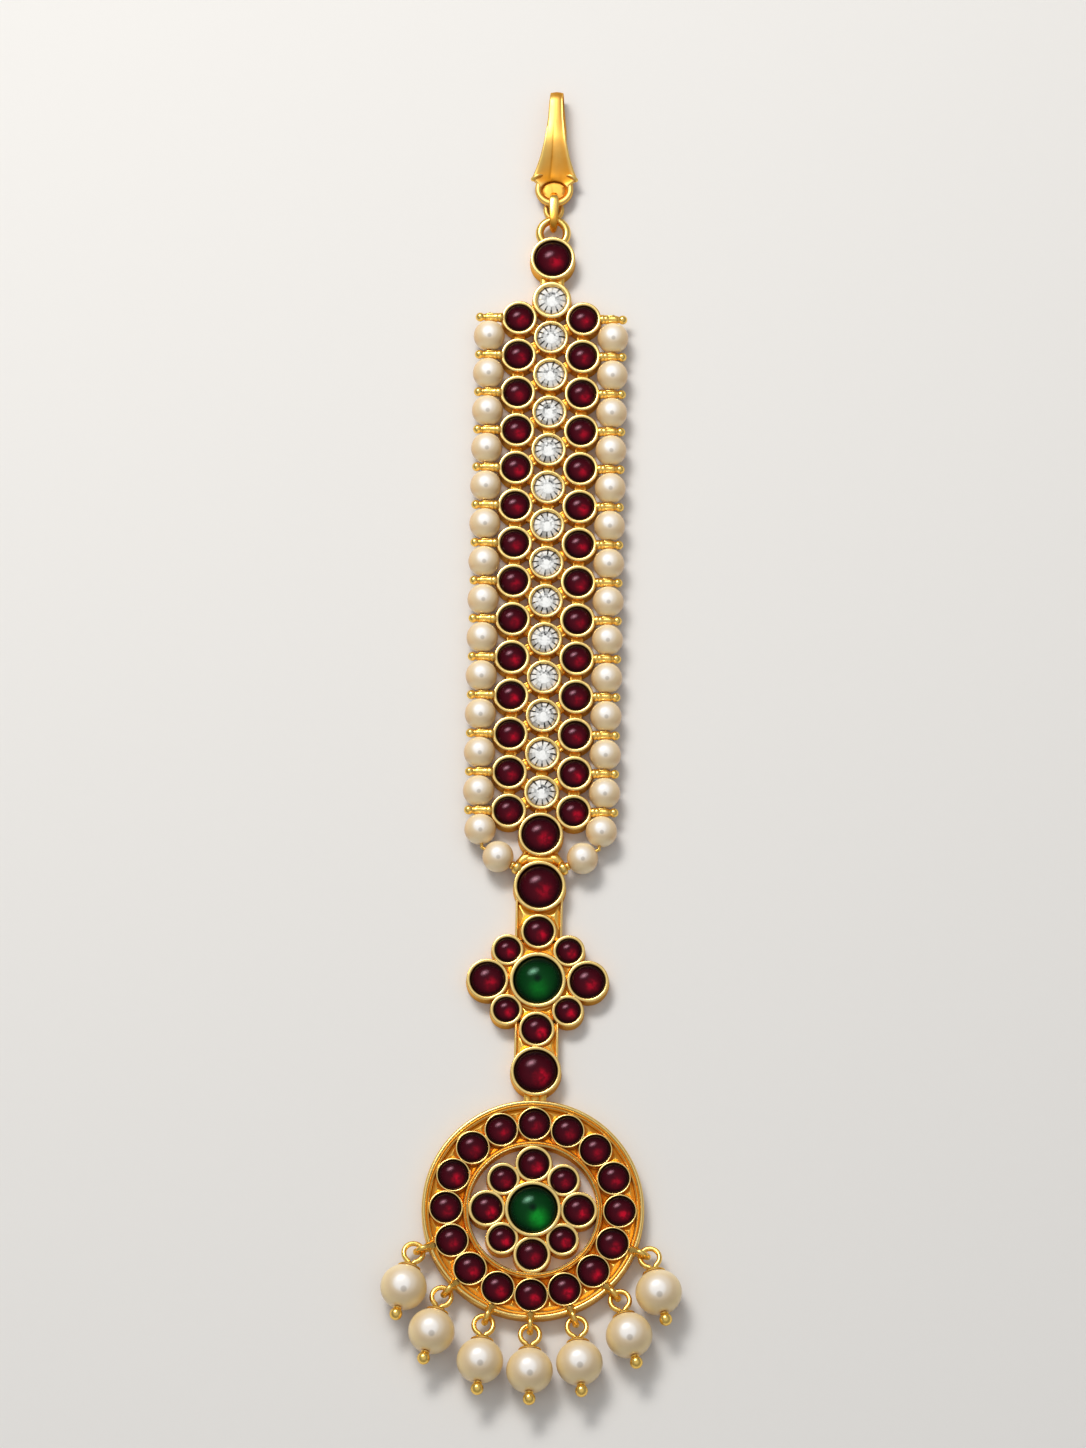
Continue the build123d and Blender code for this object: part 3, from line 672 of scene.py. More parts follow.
def cut_crystal(radius, bottom, table):
    """A round cut stone as (points, faces, marks) with a painted reflection brightness for each face."""
    girdle = table - 0.6
    levels = [(0.22, table), (0.36, table), (0.5, table - 0.01), (0.56, table - 0.05)]
    levels += [(0.74, table - 0.27), (0.92, table - 0.5), (1.0, girdle)]
    slices = len(SLICE_STARTS)
    sides = WEDGES * slices
    wedge_turn = tau / WEDGES
    spin = HAND.uniform(0, tau)
    turns = [wedge_turn * (i // slices + SLICE_STARTS[i % slices]) for i in range(sides)]
    points, rings = [(0, 0, table)], []
    for share, level in levels:
        rings.append(range(len(points), len(points) + sides))
        for i, turn in enumerate(turns):
            within = (turn % wedge_turn) - wedge_turn / 2
            straight = cos(wedge_turn / 2) / cos(within) if share < 0.99 else 1.0
            lift = 0.05 * ((i // slices) % 2) if 0.6 < share < 0.99 else 0.0
            r = radius * share * straight
            points.append((r * cos(turn + spin), r * sin(turn + spin), level + lift))
    rings.append(range(len(points), len(points) + sides))
    points += [(radius * cos(turn + spin), radius * sin(turn + spin), bottom) for turn in turns]
    # painted reflections of the foil: tones of the wedges, dark lines between facets and grey patches on the
    # far side
    line_strength = [HAND.choice((0.35, 0.7, 0.9, 1.0)) for _ in range(WEDGES)]
    wedge_tone = [HAND.choice((1.0, 1.0, 0.92, 0.75, 0.5)) for _ in range(WEDGES)]
    patch_reflection_tone = [HAND.choice((0.25, 0.45, 0.6, 0.9, 1.0)) for _ in range(WEDGES)]
    faces, bright = [], []
    for i in range(sides):
        j = (i + 1) % sides
        upper = 0.5 + 0.5 * sin(turns[i] + wedge_turn / 4 + spin)  # 1 at the far side of the stone
        wedge, is_line = i // slices, i % slices == slices - 1
        line = line_strength[wedge] if is_line else 0.0
        mottle = upper**0.7 * (1 - patch_reflection_tone[wedge])
        faces.append((0, rings[0][i], rings[0][j]))
        bright.append(1.0)
        tones = [  # ring by ring, from the table outwards and down to the bottom
            1.0 - 1.05 * upper * (1 - patch_reflection_tone[(wedge * 3 + 1) % WEDGES]) - 0.2 * upper,
            0.98 - 1.1 * mottle - (0.4 * upper if is_line else 0.0),
            0.8 - 0.5 * mottle,
            wedge_tone[wedge] - 0.75 * line - 0.12 * upper,
            wedge_tone[(wedge + 5) % WEDGES] - (1.6 - 0.6 * upper) * line,
            0.42 - 0.3 * line,
            0.08,
        ]
        for k, tone in enumerate(tones):
            faces.append((rings[k][i], rings[k + 1][i], rings[k + 1][j], rings[k][j]))
            bright.append(tone)
    faces.append(tuple(reversed(rings[-1])))
    bright.append(0.1)
    return points, faces, [max(0.0, b) for b in bright]


def set_crystals(node):
    """Cut crystals in their collets, their painted reflections marked face by face."""
    casting = Casting()
    for gem in stones_in(node):
        points, faces, tones = cut_crystal(gem.radius, gem.low, gem.high)
        casting.add((points, faces, []), at(gem.x, gem.y), flat=True)
        casting.face_marks += tones
    casting.finish(node + "_set", CRYSTAL, "crystal", node, crease_deg=5)


collets("strip_collets", ["strip_crystals", "strip_rubies"])
collets("spine_bezels", ["top_ruby", "base_ruby", "upper_ruby", "lower_ruby"])
collets("flower_collets", ["flower_emerald", "flower_rubies"])
collets("medallion_collets", ["medallion_emerald", "medallion_petal_rubies", "medallion_rim_rubies"])
for ruby_node in WALLS:
    if "rub" in ruby_node:
        set_stones(ruby_node, RUBY, "ruby")
for emerald_node in ("flower_emerald", "medallion_emerald"):
    set_stones(emerald_node, EMERALD, "emerald")
set_crystals("strip_crystals")

# ------------ medallion plate
MX, MY = MEDALLION.x, MEDALLION.y


def polar(radius, turn_deg):
    """A point of the medallion in plan, by radius and turn from straight up, clockwise."""
    turn = radians(turn_deg)
    return MX + radius * sin(turn), MY + radius * cos(turn)


def medallion_plate():
    """The medallion's ring, turned in one with its outer double bead, sunk floor and inner double
    bead, and the disc under its middle flower."""
    casting = Casting()
    profile = [
        (7.98, 0.0, 0.0), (13.77, 0.0, 0.0), (13.85, 0.12, 0.1), (13.85, 1.6, 0.5), (13.83, 2.1, 0.8),
        (13.75, 2.3, 0.9), (13.6, 2.4, 1.0), (13.44, 2.37, 0.95), (13.33, 2.2, 0.8), (13.28, 1.98, 0.3),
        (13.24, 1.94, 0.0), (13.2, 1.98, 0.2), (13.14, 2.1, 0.8), (13.05, 2.15, 0.9), (12.96, 2.1, 0.7),
        (12.9, 1.92, 0.2), (12.87, 1.3, 0.1), (12.78, PLATE_TOP, 0.3), (8.84, PLATE_TOP, 0.3),
        (8.74, 1.3, 0.0), (8.7, 1.86, 0.3), (8.64, 2.02, 0.8), (8.55, 2.08, 0.9), (8.46, 2.02, 0.6),
        (8.42, 1.88, 0.1), (8.38, 1.86, 0.1), (8.34, 2.0, 0.6), (8.27, 2.16, 0.95), (8.16, 2.2, 1.0),
        (8.05, 2.14, 0.8), (7.98, 1.96, 0.4), (7.98, 0.1, 0.0),
    ]
    casting.add(turned(profile, 144, closed=True), at(MX, MY))
    inner = [(0, 0, 0), (4.95, 0, 0), (5.0, 0.05, 0), (5.0, 1.1, 0.1)]
    inner += [(4.9, PLATE_TOP, 0.1), (0, PLATE_TOP, 0.1)]
    casting.add(turned(inner, 64), at(MX, MY))
    casting.finish("medallion_plate", RIM_GOLD, "gold", "frame")


def medallion_leaves():
    """Three-sided bosses that fill the spaces beside the rim's collets and between the petals."""
    casting = Casting()
    count = len(SETTINGS["medallion_rim_rubies"])
    rim, peak = PLATE_TOP + 0.2, PLATE_TOP + 0.55
    for i in range(count):
        turn = 360 * (i + 0.5) / count
        outer = [polar(12.84, turn - 8.0), polar(11.3, turn), polar(12.84, turn + 8.0)]
        casting.add(leaf(outer, 1.1, rim, peak, (0.3, 0.3, -0.2)), flat=True)
        inner = [polar(8.8, turn + 5.5), polar(9.75, turn), polar(8.8, turn - 5.5)]
        casting.add(leaf(inner, 1.1, rim, peak, (0.24, 0.24, 0.1)), flat=True)
    for i in range(8):
        turn = 45 * (i + 0.5)
        gap = [polar(5.15, turn), polar(3.55, turn + 13), polar(3.55, turn - 13)]
        casting.add(leaf(gap, 1.1, rim, peak, (0.2, -0.1, 0.2)), flat=True)
    casting.finish("medallion_leaves", CAST_GOLD, "gold", "frame")


medallion_plate()
medallion_leaves()

# ------------ straps, yoke and necks
LOWER, UPPER, BASE, TOP = (middle(n) for n in ("lower_ruby", "upper_ruby", "base_ruby", "top_ruby"))
PETALS = SETTINGS["flower_rubies"]
SOUTH = min(PETALS, key=lambda cup: cup.y)
NORTH = max(PETALS, key=lambda cup: cup.y)

UPPER_HALF, LOWER_HALF = 2.96, 2.76  # half-widths of the two straps
STRAP_TOP = 1.3
RAIL_LEVEL, RAIL_RADIUS = 1.68, 0.17  # the raised rims along a strap's sides
YOKE_TOP = 1.55
FLOWER_TOP = 1.45


def strap(casting, half, low_y, high_y):
    """A flat strap with a thin raised rim along each side and a groove inside it."""
    casting.add(slab((-half, low_y), (half, high_y), 0, STRAP_TOP, 0.05, 0.2))
    for side in (-1, 1):
        x = side * (half - RAIL_RADIUS)
        run = [(x, y, RAIL_LEVEL) for y in (low_y, (low_y + high_y) / 2, high_y)]
        casting.add(wire(run, RAIL_RADIUS, 12, polish_and_shading=1.0, flatten=1.3))
        casting.add(slab((x - 0.14, low_y), (x + 0.14, high_y), 0.4, RAIL_LEVEL - 0.06, 0.04, 0.3))


def strap_leaves(casting, half, bezel, petal, toward):
    """Corner bosses between a strap's rims, its bezel and the flower's end petal."""
    inner = half - 0.38
    across_bezel = sqrt(bezel.outer**2 - inner**2)
    middle_y = (bezel.y + toward * bezel.outer + petal.y - toward * petal.outer) / 2
    for side in (-1, 1):
        corners = [
            (side * inner, bezel.y + toward * (across_bezel + 0.1)),
            (side * inner, petal.y - toward * 0.35),
            (side * 0.42, middle_y),
        ]
        pinches = (-0.05, 0.26, 0.26) if side * toward < 0 else (0.26, 0.26, -0.05)
        order = corners if side * toward < 0 else corners[::-1]
        casting.add(leaf(order, STRAP_TOP - 0.1, STRAP_TOP + 0.12, STRAP_TOP + 0.42, pinches), flat=True)


def spine_metal():
    """Straps above and below the flower, and the flower's plate."""
    casting = Casting()
    strap(casting, UPPER_HALF, NORTH.y - 1.0, UPPER.y - 0.4)
    strap(casting, LOWER_HALF, LOWER.y + 0.4, SOUTH.y + 1.0)
    disc = [(0, 0, 0), (5.25, 0, 0), (5.3, 0.06, 0.1), (5.3, FLOWER_TOP - 0.08, 0.2)]
    disc += [(5.22, FLOWER_TOP, 0.2), (0, FLOWER_TOP, 0.2)]
    casting.add(turned(disc, 64), at(FLOWER.x, FLOWER.y))
    casting.finish("spine_metal", RIM_GOLD, "gold", "frame")


def spine_leaves():
    casting = Casting()
    strap_leaves(casting, UPPER_HALF, SETTINGS["upper_ruby"][0], NORTH, -1)
    strap_leaves(casting, LOWER_HALF, SETTINGS["lower_ruby"][0], SOUTH, 1)
    low, rim, peak = FLOWER_TOP - 0.1, FLOWER_TOP + 0.1, FLOWER_TOP + 0.36
    cx, cy = FLOWER.x, FLOWER.y
    for side in (-1, 1):
        for end in (-1, 1):
            near_end = [(cx + side * 2.1, cy + end * 5.1), (cx + side * 0.3, cy + end * 3.78),
                        (cx + side * 2.0, cy + end * 3.15)]
            near_side = [(cx + side * 4.95, cy + end * 2.05), (cx + side * 3.5, cy + end * 0.75),
                         (cx + side * 2.95, cy + end * 2.1)]
            for corners in (near_end, near_side):
                order = corners if side * end < 0 else corners[::-1]
                casting.add(leaf(order, low, rim, peak, (0.16, 0.12, 0.16)), flat=True)
    casting.finish("spine_leaves", CAST_GOLD, "gold", "frame")


def neck(casting, low_y, high_y, half, level):
    """A short rounded neck with two shallow grooves along it."""
    casting.add(slab((-half, low_y), (half, high_y), 0, level - 0.12, 0.1, 0.25))
    middle_y = (low_y + high_y) / 2
    for x, radius in ((-0.68 * half, 0.36 * half), (0.0, 0.44 * half), (0.68 * half, 0.36 * half)):
        run = [(x, y, level - 0.2) for y in (low_y - 0.1, middle_y, high_y + 0.1)]
        casting.add(wire(run, radius, 14, polish_and_shading=0.75, flatten=0.62))


def necks():
    """The necks at both ends of the spine, and the yoke that carries the two round bezels."""
    casting = Casting()
    neck(casting, MY + 13.3, LOWER.y - 2.9, 1.35, 1.62)
    neck(casting, SETTINGS["strip_crystals"][-1].y + 2.2, TOP.y - 2.6, 1.5, 1.7)
    middle_y = (UPPER.y + 3.3 + BASE.y - 2.84) / 2
    casting.add(slab((-2.2, UPPER.y + 1.9), (2.2, BASE.y - 1.3), 0, YOKE_TOP - 0.2, 0.12, 0.3))
    casting.add(wire([(-1.5, middle_y, 1.4), (0, middle_y, 1.5), (1.5, middle_y, 1.4)], 0.62, 14, polish_and_shading=0.6))
    for side in (-1, 1):
        lump = [(side * 1.35, middle_y + 0.35, 1.35), (side * 2.0, middle_y + 0.1, 1.5),
                (side * 2.62, middle_y - 0.42, 1.35)]
        casting.add(wire(lump, [0.6, 0.66, 0.52], 14, polish_and_shading=0.75))
        root = [(side * 1.9, middle_y + 0.75, 1.0), (side * 2.2, middle_y + 0.2, 1.1)]
        casting.add(wire(root, [0.4, 0.45], 12, polish_and_shading=0.5))
    casting.finish("necks", CAST_GOLD, "gold", "frame")


spine_metal()
spine_leaves()
necks()


# ------------ solder between the strip's collets
def strip_solder():
    """Webs and grains of solder that join each collet of the strip to its neighbours."""
    casting = Casting()
    cups = SETTINGS["strip_crystals"] + SETTINGS["strip_rubies"] + SETTINGS["base_ruby"]
    for i, (x1, y1, _, r1, _) in enumerate(cups):
        for x2, y2, _, r2, _ in cups[i + 1 :]:
            apart = hypot(x2 - x1, y2 - y1)
            if apart > r1 + r2 + 1.0:
                continue
            ux, uy = (x2 - x1) / apart, (y2 - y1) / apart
            share = (r1 + apart - r2) / 2
            mx, my = x1 + ux * share, y1 + uy * share
            bar = [(mx - ux * 0.5, my - uy * 0.5, 1.0), (mx, my, HAND.uniform(1.02, 1.12)),
                   (mx + ux * 0.5, my + uy * 0.5, 1.0)]
            # the webs are marked low, which gives them the deeper hollow colour: partly dull solder and
            # partly painted shade between the collets
            casting.add(wire(bar, [0.82, HAND.uniform(0.74, 0.84), 0.82], 12, polish_and_shading=0.12, flatten=0.55))
            for side in (-1, 1):
                off = side * HAND.uniform(0.5, 0.64)
                gx, gy, size = mx - uy * off, my + ux * off, HAND.uniform(0.2, 0.27)
                ridge = [(gx - ux * 0.26, gy - uy * 0.26, 1.22), (gx + ux * 0.26, gy + uy * 0.26, 1.22)]
                if HAND.random() < 0.7:
                    casting.add(wire(ridge, size, 10, polish_and_shading=0.55))
    casting.finish("strip_solder", CAST_GOLD, "gold", "frame")


strip_solder()


# ------------ pegs, crimp tubes and wires
EDGE_COUNT = 15  # pearls along each edge
STRING_LEVEL = 2.05  # of the pegs, the stringing wires and the edge pearls' middles
PEG_BALL = 0.58
PEG_REACH = 9.15  # from the ornament's middle line to the middle of a peg's ball
BALL_STEP = 2.72  # peg's root to the middle of its ball, before it is fitted
TURN_DEG, FALL_DEG = 83, 30  # slopes of the thread in the last two pearls


def edge_peg():
    """One peg along z: two root collars, a waisted bar, a neck and the ball at its end."""
    profile = [
        (0.0, -0.15, 0.0), (0.54, -0.15, 0.2), (0.6, 0.02, 0.6), (0.63, 0.16, 0.95), (0.62, 0.3, 0.95),
        (0.57, 0.42, 0.6), (0.56, 0.48, 0.5), (0.59, 0.56, 0.8), (0.6, 0.68, 1.0), (0.57, 0.8, 0.9),
        (0.53, 0.92, 0.6), (0.52, 1.05, 0.7), (0.53, 1.3, 0.9), (0.54, 1.7, 0.9), (0.53, 1.92, 0.8),
        (0.47, 2.08, 0.4), (0.43, 2.16, 0.3), (0.45, 2.24, 0.5),
    ]
    for i in range(3, 13):
        turn = pi * i / 12
        profile.append((PEG_BALL * sin(turn) if i < 12 else 0.0, BALL_STEP - PEG_BALL * cos(turn), 1.0))
    return turned(profile, 22)


def edge_pegs():
    """Pegs between the edge pearls, each with two ridges, polished and painted with a highlight, and a
    foot against its collet.
    """
    casting = Casting()
    for cup in SETTINGS["strip_rubies"]:
        side = 1 if cup.x > 0 else -1
        root = Vector((cup.x + side * (cup.outer - 0.02), cup.y, STRING_LEVEL))
        stretch = Matrix.Diagonal((1, 1, (PEG_REACH - root.x * side) / BALL_STEP, 1))
        casting.add(edge_peg(), aimed(root, (side, 0, 0)) @ stretch)
        for up, size in ((-1, 0.11), (1, 0.15)):
            steps = ((0.85, 2.32), (1.3, 2.38), (1.85, 2.32))
            ridge = [(root.x + side * step, cup.y + up * 0.36, level) for step, level in steps]
            casting.add(wire(ridge, [size * 0.8, size, size * 0.8], 8, polish_and_shading=1.0))
        foot = [(root.x - side * 0.3, cup.y, 1.2), (root.x + side * 0.45, cup.y, 1.5)]
        casting.add(wire(foot, [0.5, 0.4], 10, polish_and_shading=0.2))
    casting.finish("edge_pegs", WIRE_GOLD, "gold", "frame")


def edge_nodes(side_name):
    """One edge's pearls, from the top."""
    return [f"pearl_{side_name}_{i:02d}" for i in range(1, EDGE_COUNT + 1)]


def sloping(side_name, slope_deg):
    """A direction in plan that slopes up and out from the ornament's middle line."""
    side = -1 if side_name == "left" else 1
    return Vector((side * cos(radians(slope_deg)), sin(radians(slope_deg)), 0))


def stringing(side_name):
    """The wire through one edge's pearls, with a knot after each of the last two. Returns the place
    and direction of its crimp tube."""
    places = [middle(node) for node in edge_nodes(side_name)]
    first, second = places[-2:]
    x, last_y = places[0].x, places[-3].y
    top_y = box_mm("pearl_wire_" + side_name)[1].y
    fall = -sloping(side_name, FALL_DEG)
    crimp = second + fall * 2.85
    down = (first - Vector((x, last_y - 2.5, STRING_LEVEL))).normalized()
    corner = first + down * 2.35
    strung = [(x, y, STRING_LEVEL) for y in (top_y, places[7].y, last_y - 2.4)]
    casting = Casting()
    for run in (strung, [first - down * 2.4, first, corner], [corner, second, crimp]):
        casting.add(wire(run, 0.2, 8, polish_and_shading=0.6))
    for centre, size in ((corner, 0.22), (second + fall * 2.02, 0.3)):
        casting.add(ball(size, 12, 0.9), at(*centre))
    casting.finish("stringing_" + side_name, WIRE_GOLD, "gold", "pearl_wire_" + side_name)
    return crimp, fall


def crimps(ends):
    """Crimp tubes beside the upper bezel: a bead, a round collar and a plain end."""
    profile = [(0.0, -1.02, 0.3), (0.36, -0.98, 0.6), (0.52, -0.84, 0.9), (0.55, -0.7, 1.0)]
    profile += [(0.5, -0.55, 0.7), (0.46, -0.46, 0.3), (0.68, -0.44, 0.5), (0.83, -0.32, 0.95)]
    profile += [(0.86, -0.12, 1.0), (0.86, 0.08, 1.0), (0.8, 0.24, 0.9), (0.64, 0.34, 0.4)]
    profile += [(0.6, 0.48, 0.6), (0.0, 0.52, 0.3)]
    casting = Casting()
    for crimp, fall in ends:
        casting.add(turned(profile, 20), aimed(crimp, fall))
    casting.finish("crimp_tubes", WIRE_GOLD, "gold", "frame")


edge_pegs()
crimps([stringing("left"), stringing("right")])


# ------------ pearls
def pearl(radius, thread, sides, bore):
    """A pearl turned about its thread, a touch flat at the ends, with a dimple round each hole."""
    count, end_turn = sides // 2, 0.2
    profile = [(0.0, -radius * 0.86, 0)]
    for i in range(count + 1):
        turn = end_turn + (pi - 2 * end_turn) * i / count
        edge = max(0.0, 1 - (min(turn, pi - turn) - end_turn) / 0.16)
        r, z = radius * sin(turn), -radius * 0.985 * cos(turn)
        profile.append((max(bore, r * (1 - 0.1 * edge)), z * (1 - 0.025 * edge**2), 0))
    profile.append((0.0, radius * 0.86, 0))
    points, faces, _ = turned(profile, sides)
    turn_back = aimed((0, 0, 0), thread)
    return points, faces, [tuple((turn_back @ Vector(p)).normalized()) for p in points]


def edge_pearls(side_name):
    casting = Casting()
    nodes = edge_nodes(side_name)
    slopes = [90] * (EDGE_COUNT - 2) + [TURN_DEG, FALL_DEG]
    for node, slope_deg in zip(nodes, slopes):
        centre, radius = bead(node)
        thread = sloping(side_name, slope_deg)
        casting.add(pearl(radius, thread, 40, 0.35), aimed(centre, thread))
    casting.finish("edge_pearls_" + side_name, EDGE_PEARL, "pearl", *nodes)


edge_pearls("left")
edge_pearls("right")


# ------------ drops
DROP_COUNT = 7
LOOP_STEP = 4.75  # pearl's centre to its loop's centre
LOOP_LEVEL = 1.9
END_BALL, END_BALL_STEP = 0.795, 3.705  # the pin's end ball, and how far below the pearl's centre it is


def drops():
    """Drop pearls with their pins, and the eyelets on the medallion's rim."""
    pearls, pins, eyelets = Casting(), Casting(), Casting()
    numbers = range(1, DROP_COUNT + 1)
    for i in numbers:
        centre, radius = bead(f"drop_pearl_{i}")
        loop, up_pin = pin_line(i, centre)
        pearls.add(pearl(radius, up_pin, 48, 0.4), aimed(centre, up_pin))
        pins.add(head_pin(), aimed(centre, up_pin))
        add_rolled_loop(pins, centre, loop, up_pin, 1 if i % 2 else -1)
        add_eyelet(eyelets, loop)
    pearls.finish("drop_pearls", DROP_PEARL, "pearl", *(f"drop_pearl_{i}" for i in numbers))
    pins.finish("drop_pins", WIRE_GOLD, "gold", *(f"drop_pin_{i}" for i in numbers))
    eyelets.finish("eyelets", WIRE_GOLD, "gold", "frame")


def pin_line(i, centre):
    """A drop's loop centre and the direction of its pin, from the far end of its CAD node."""
    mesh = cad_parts[f"drop_pin_{i}"].data
    far = max((v.co / MM for v in mesh.vertices), key=lambda p: (p - centre).length)
    flat = Vector((far.x - centre.x, far.y - centre.y, 0)).normalized()
    tilt = (centre.z - LOOP_LEVEL) / LOOP_STEP
    up_pin = flat * sqrt(1 - tilt**2) + Vector((0, 0, -tilt))
    return centre + up_pin * LOOP_STEP, up_pin


def head_pin():
    """The pin along z through a pearl at the origin: ball end, collar, and the cap under the loop."""
    profile = ball_profile(END_BALL, 14, -END_BALL_STEP)[:-2]
    profile += [(0.42, -3.02, 0.3), (0.5, -2.94, 0.8), (0.52, -2.86, 0.8), (0.44, -2.78, 0.4)]
    profile += [(0.3, -2.7, 0.2), (0.3, 2.45, 0.2), (0.9, 2.66, 0.2), (1.28, 2.6, 0.4), (1.42, 2.63, 0.9)]
    profile += [(1.45, 2.72, 1.0), (1.38, 2.81, 0.9), (1.14, 2.85, 0.3), (0.98, 2.9, 0.2), (0.97, 3.0, 0.7)]
    profile += [(0.92, 3.12, 1.0), (0.76, 3.2, 0.9), (0.58, 3.2, 0.3), (0.44, 3.28, 0.4), (0.0, 3.36, 0.4)]
    return turned(profile, 28)


def add_rolled_loop(casting, centre, loop, up_pin, hand):
    """The pin's wire bent round in a loop, its cut end curled back beside the cap."""
    across = UP.cross(up_pin).normalized() * hand
    path = [centre + up_pin * 3.2 + across * 0.12]
    path += arc(loop, (1.2, 1.24), -68, 245, 30, across, up_pin)
    path.append(centre + up_pin * 3.36 - across * 0.3)
    casting.add(wire(path, [0.32] * (len(path) - 1) + [0.28], 12, polish_and_shading=0.9))


def add_eyelet(casting, loop):
    """A hook on edge: a flared foot on the rim's wall, and a round end inside the drop's loop."""
    outward = Vector((loop.x - MX, loop.y - MY, 0)).normalized()
    base = Vector((MX, MY, LOOP_LEVEL))
    # how far from the medallion's middle, how far above the loops, and the wire's radius
    foot = [(13.5, -0.1, 0.8), (13.72, 0.2, 0.66), (13.95, 0.55, 0.5), (14.18, 0.85, 0.42)]
    path = [base + outward * reach + UP * lift for reach, lift, _ in foot]
    path += arc(base + outward * 14.42, 1.0, 96, -112, 22, outward, UP)
    casting.add(wire(path, [radius for *_, radius in foot] + [0.36] * 22, 14, polish_and_shading=0.85))
    casting.add(ball(0.44, 16, 1.0), at(*(base + outward * 15.4)))


drops()


# ------------ top loop, link and hook
def top_loop():
    """The round loop on the top bezel."""
    casting = Casting()
    casting.add(wire(arc((0, TOP.y + 3.65, 1.55), 1.74, -56, 236, 44), 0.52, 16, polish_and_shading=0.9))
    casting.finish("top_loop", WIRE_GOLD, "gold", "frame")


def link():
    """The jump ring of flat strip that stands on edge between the top loop and the hook's eye. It is
    painted darker, as shade, where it passes under the hook."""
    low, high = box_mm("hook_link")
    half_y, half_z = (high.y - low.y) / 2, (high.z - low.z) / 2
    centre = (low + high) / 2
    straight = half_y - half_z
    # across the strip: place from side to side, and depth below the outer face
    half_section = [(-0.5, 0.38), (-0.58, 0.3), (-0.6, 0.16), (-0.54, 0.05), (-0.4, 0.0)]
    section = [*half_section, (0.0, -0.01), *((-across, depth) for across, depth in reversed(half_section))]
    # along the strip: the middle's shift in y, the outward direction in y and z, and the painted shade
    # under the hook
    half_turns = [pi * k / 14 for k in range(15)]
    path = [(straight, cos(t - pi / 2), sin(t - pi / 2), 0.0) for t in half_turns]
    path += [(reach - straight, 0.0, 1.0, under_hook_shade) for reach, under_hook_shade in ((1.5, 0.0), (1.0, 0.3), (0.5, 0.6))]
    path += [(-straight, cos(t + pi / 2), sin(t + pi / 2), 0.7 - 0.3 * cos(t + pi / 2)) for t in half_turns]
    points, marks = [], []
    for shift, out_y, out_z, under_hook_shade in path:
        for across, depth in section:
            reach = half_z - depth
            narrow = 1 - 0.5 * abs(out_y) ** 2.5 - 0.2 * under_hook_shade**2
            points.append(centre + Vector((across * narrow, shift + reach * out_y, reach * out_z)))
            marks.append(0.95 - 1.2 * depth - 1.2 * under_hook_shade)
    casting = Casting()
    casting.add((points, stitched(even_rings(len(path), len(section)), closed=True), marks))
    casting.finish("hook_link_ring", WIRE_GOLD, "gold", "hook_link")


HOOK_LOW, HOOK_HIGH = box_mm("hook")
EYE_HALF_X, EYE_HALF_Y = 2.46, 2.4
EYE_CENTRE_Y = HOOK_LOW.y + EYE_HALF_Y
OVAL_Y = EYE_CENTRE_Y - 0.26
OVAL_HALF_X, OVAL_HALF_Y = 1.62, 1.24
BLADE_THICK = 0.65
BLADE_LEVEL, RETURN_LEVEL, EYE_LEVEL = 3.15, 0.45, 1.55
THROAT_LEVEL = 1.85  # the throat lies on the upper half of the eye
THROAT_RISE = 0.75  # how far the throat's middle is drawn up round the eye's oval
WING_BELOW = 11.95  # from the hook's top down to the tips of the wings
# the blade's half-width at each distance below the hook's top
BLADE_HALF = [
    (13.3, 1.5), (12.75, 1.72), (12.4, 2.0), (12.15, 2.48), (11.9, 2.84), (11.65, 2.86), (11.3, 2.7),
    (10.6, 2.42), (9.8, 2.15), (8.9, 1.86), (7.2, 1.46), (5.5, 1.18), (3.9, 0.99), (1.7, 0.87), (0.0, 0.85),
]


def progress(value, start, end):
    """How far a value has come from start to end, kept between 0 and 1."""
    return min(1.0, max(0.0, (value - start) / (end - start)))


def half_at(below):
    """The blade's half-width, eased between the listed ones."""
    for (b1, h1), (b2, h2) in zip(BLADE_HALF, BLADE_HALF[1:]):
        if b2 <= below <= b1:
            return h1 + (h2 - h1) * progress(below, b1, b2)
    return BLADE_HALF[0][1]


# across the ribbon: place from edge to edge, then the face's lift and its polish with painted
# highlight and shade high up, and the same low down
FACE_SECTION = [
    (-1.0, 0.30, 0.8, 0.45, 0.8), (-0.97, 0.62, 1.0, 0.85, 1.0), (-0.91, 0.76, 1.0, 1.0, 1.0),
    (-0.83, 0.68, 0.9, 0.95, 0.9), (-0.7, 0.77, 0.8, 0.82, 0.65), (-0.5, 0.89, 0.7, 0.72, 0.5),
    (-0.32, 0.96, 0.55, 0.66, 0.4), (-0.22, 0.99, 0.5, 0.63, 0.2), (-0.18, 1.0, 0.5, 0.52, 0.0),
    (-0.14, 1.0, 0.5, 0.63, 0.3), (0.08, 1.0, 0.48, 0.74, 0.45), (0.35, 0.98, 0.42, 0.74, 0.4),
    (0.55, 0.89, 0.38, 0.74, 0.28), (0.72, 0.77, 0.4, 0.8, 0.25), (0.83, 0.68, 0.75, 0.93, 0.65),
    (0.91, 0.77, 1.0, 1.0, 1.0), (0.97, 0.62, 1.0, 0.85, 1.0), (1.0, 0.30, 0.8, 0.45, 0.8),
]
BACK_SECTION = [(across, -0.6 if abs(across) > 0.98 else -1.0, 0.3) for across, *_ in reversed(FACE_SECTION)]


Station = namedtuple("Station", "y z normal left right opened bow")


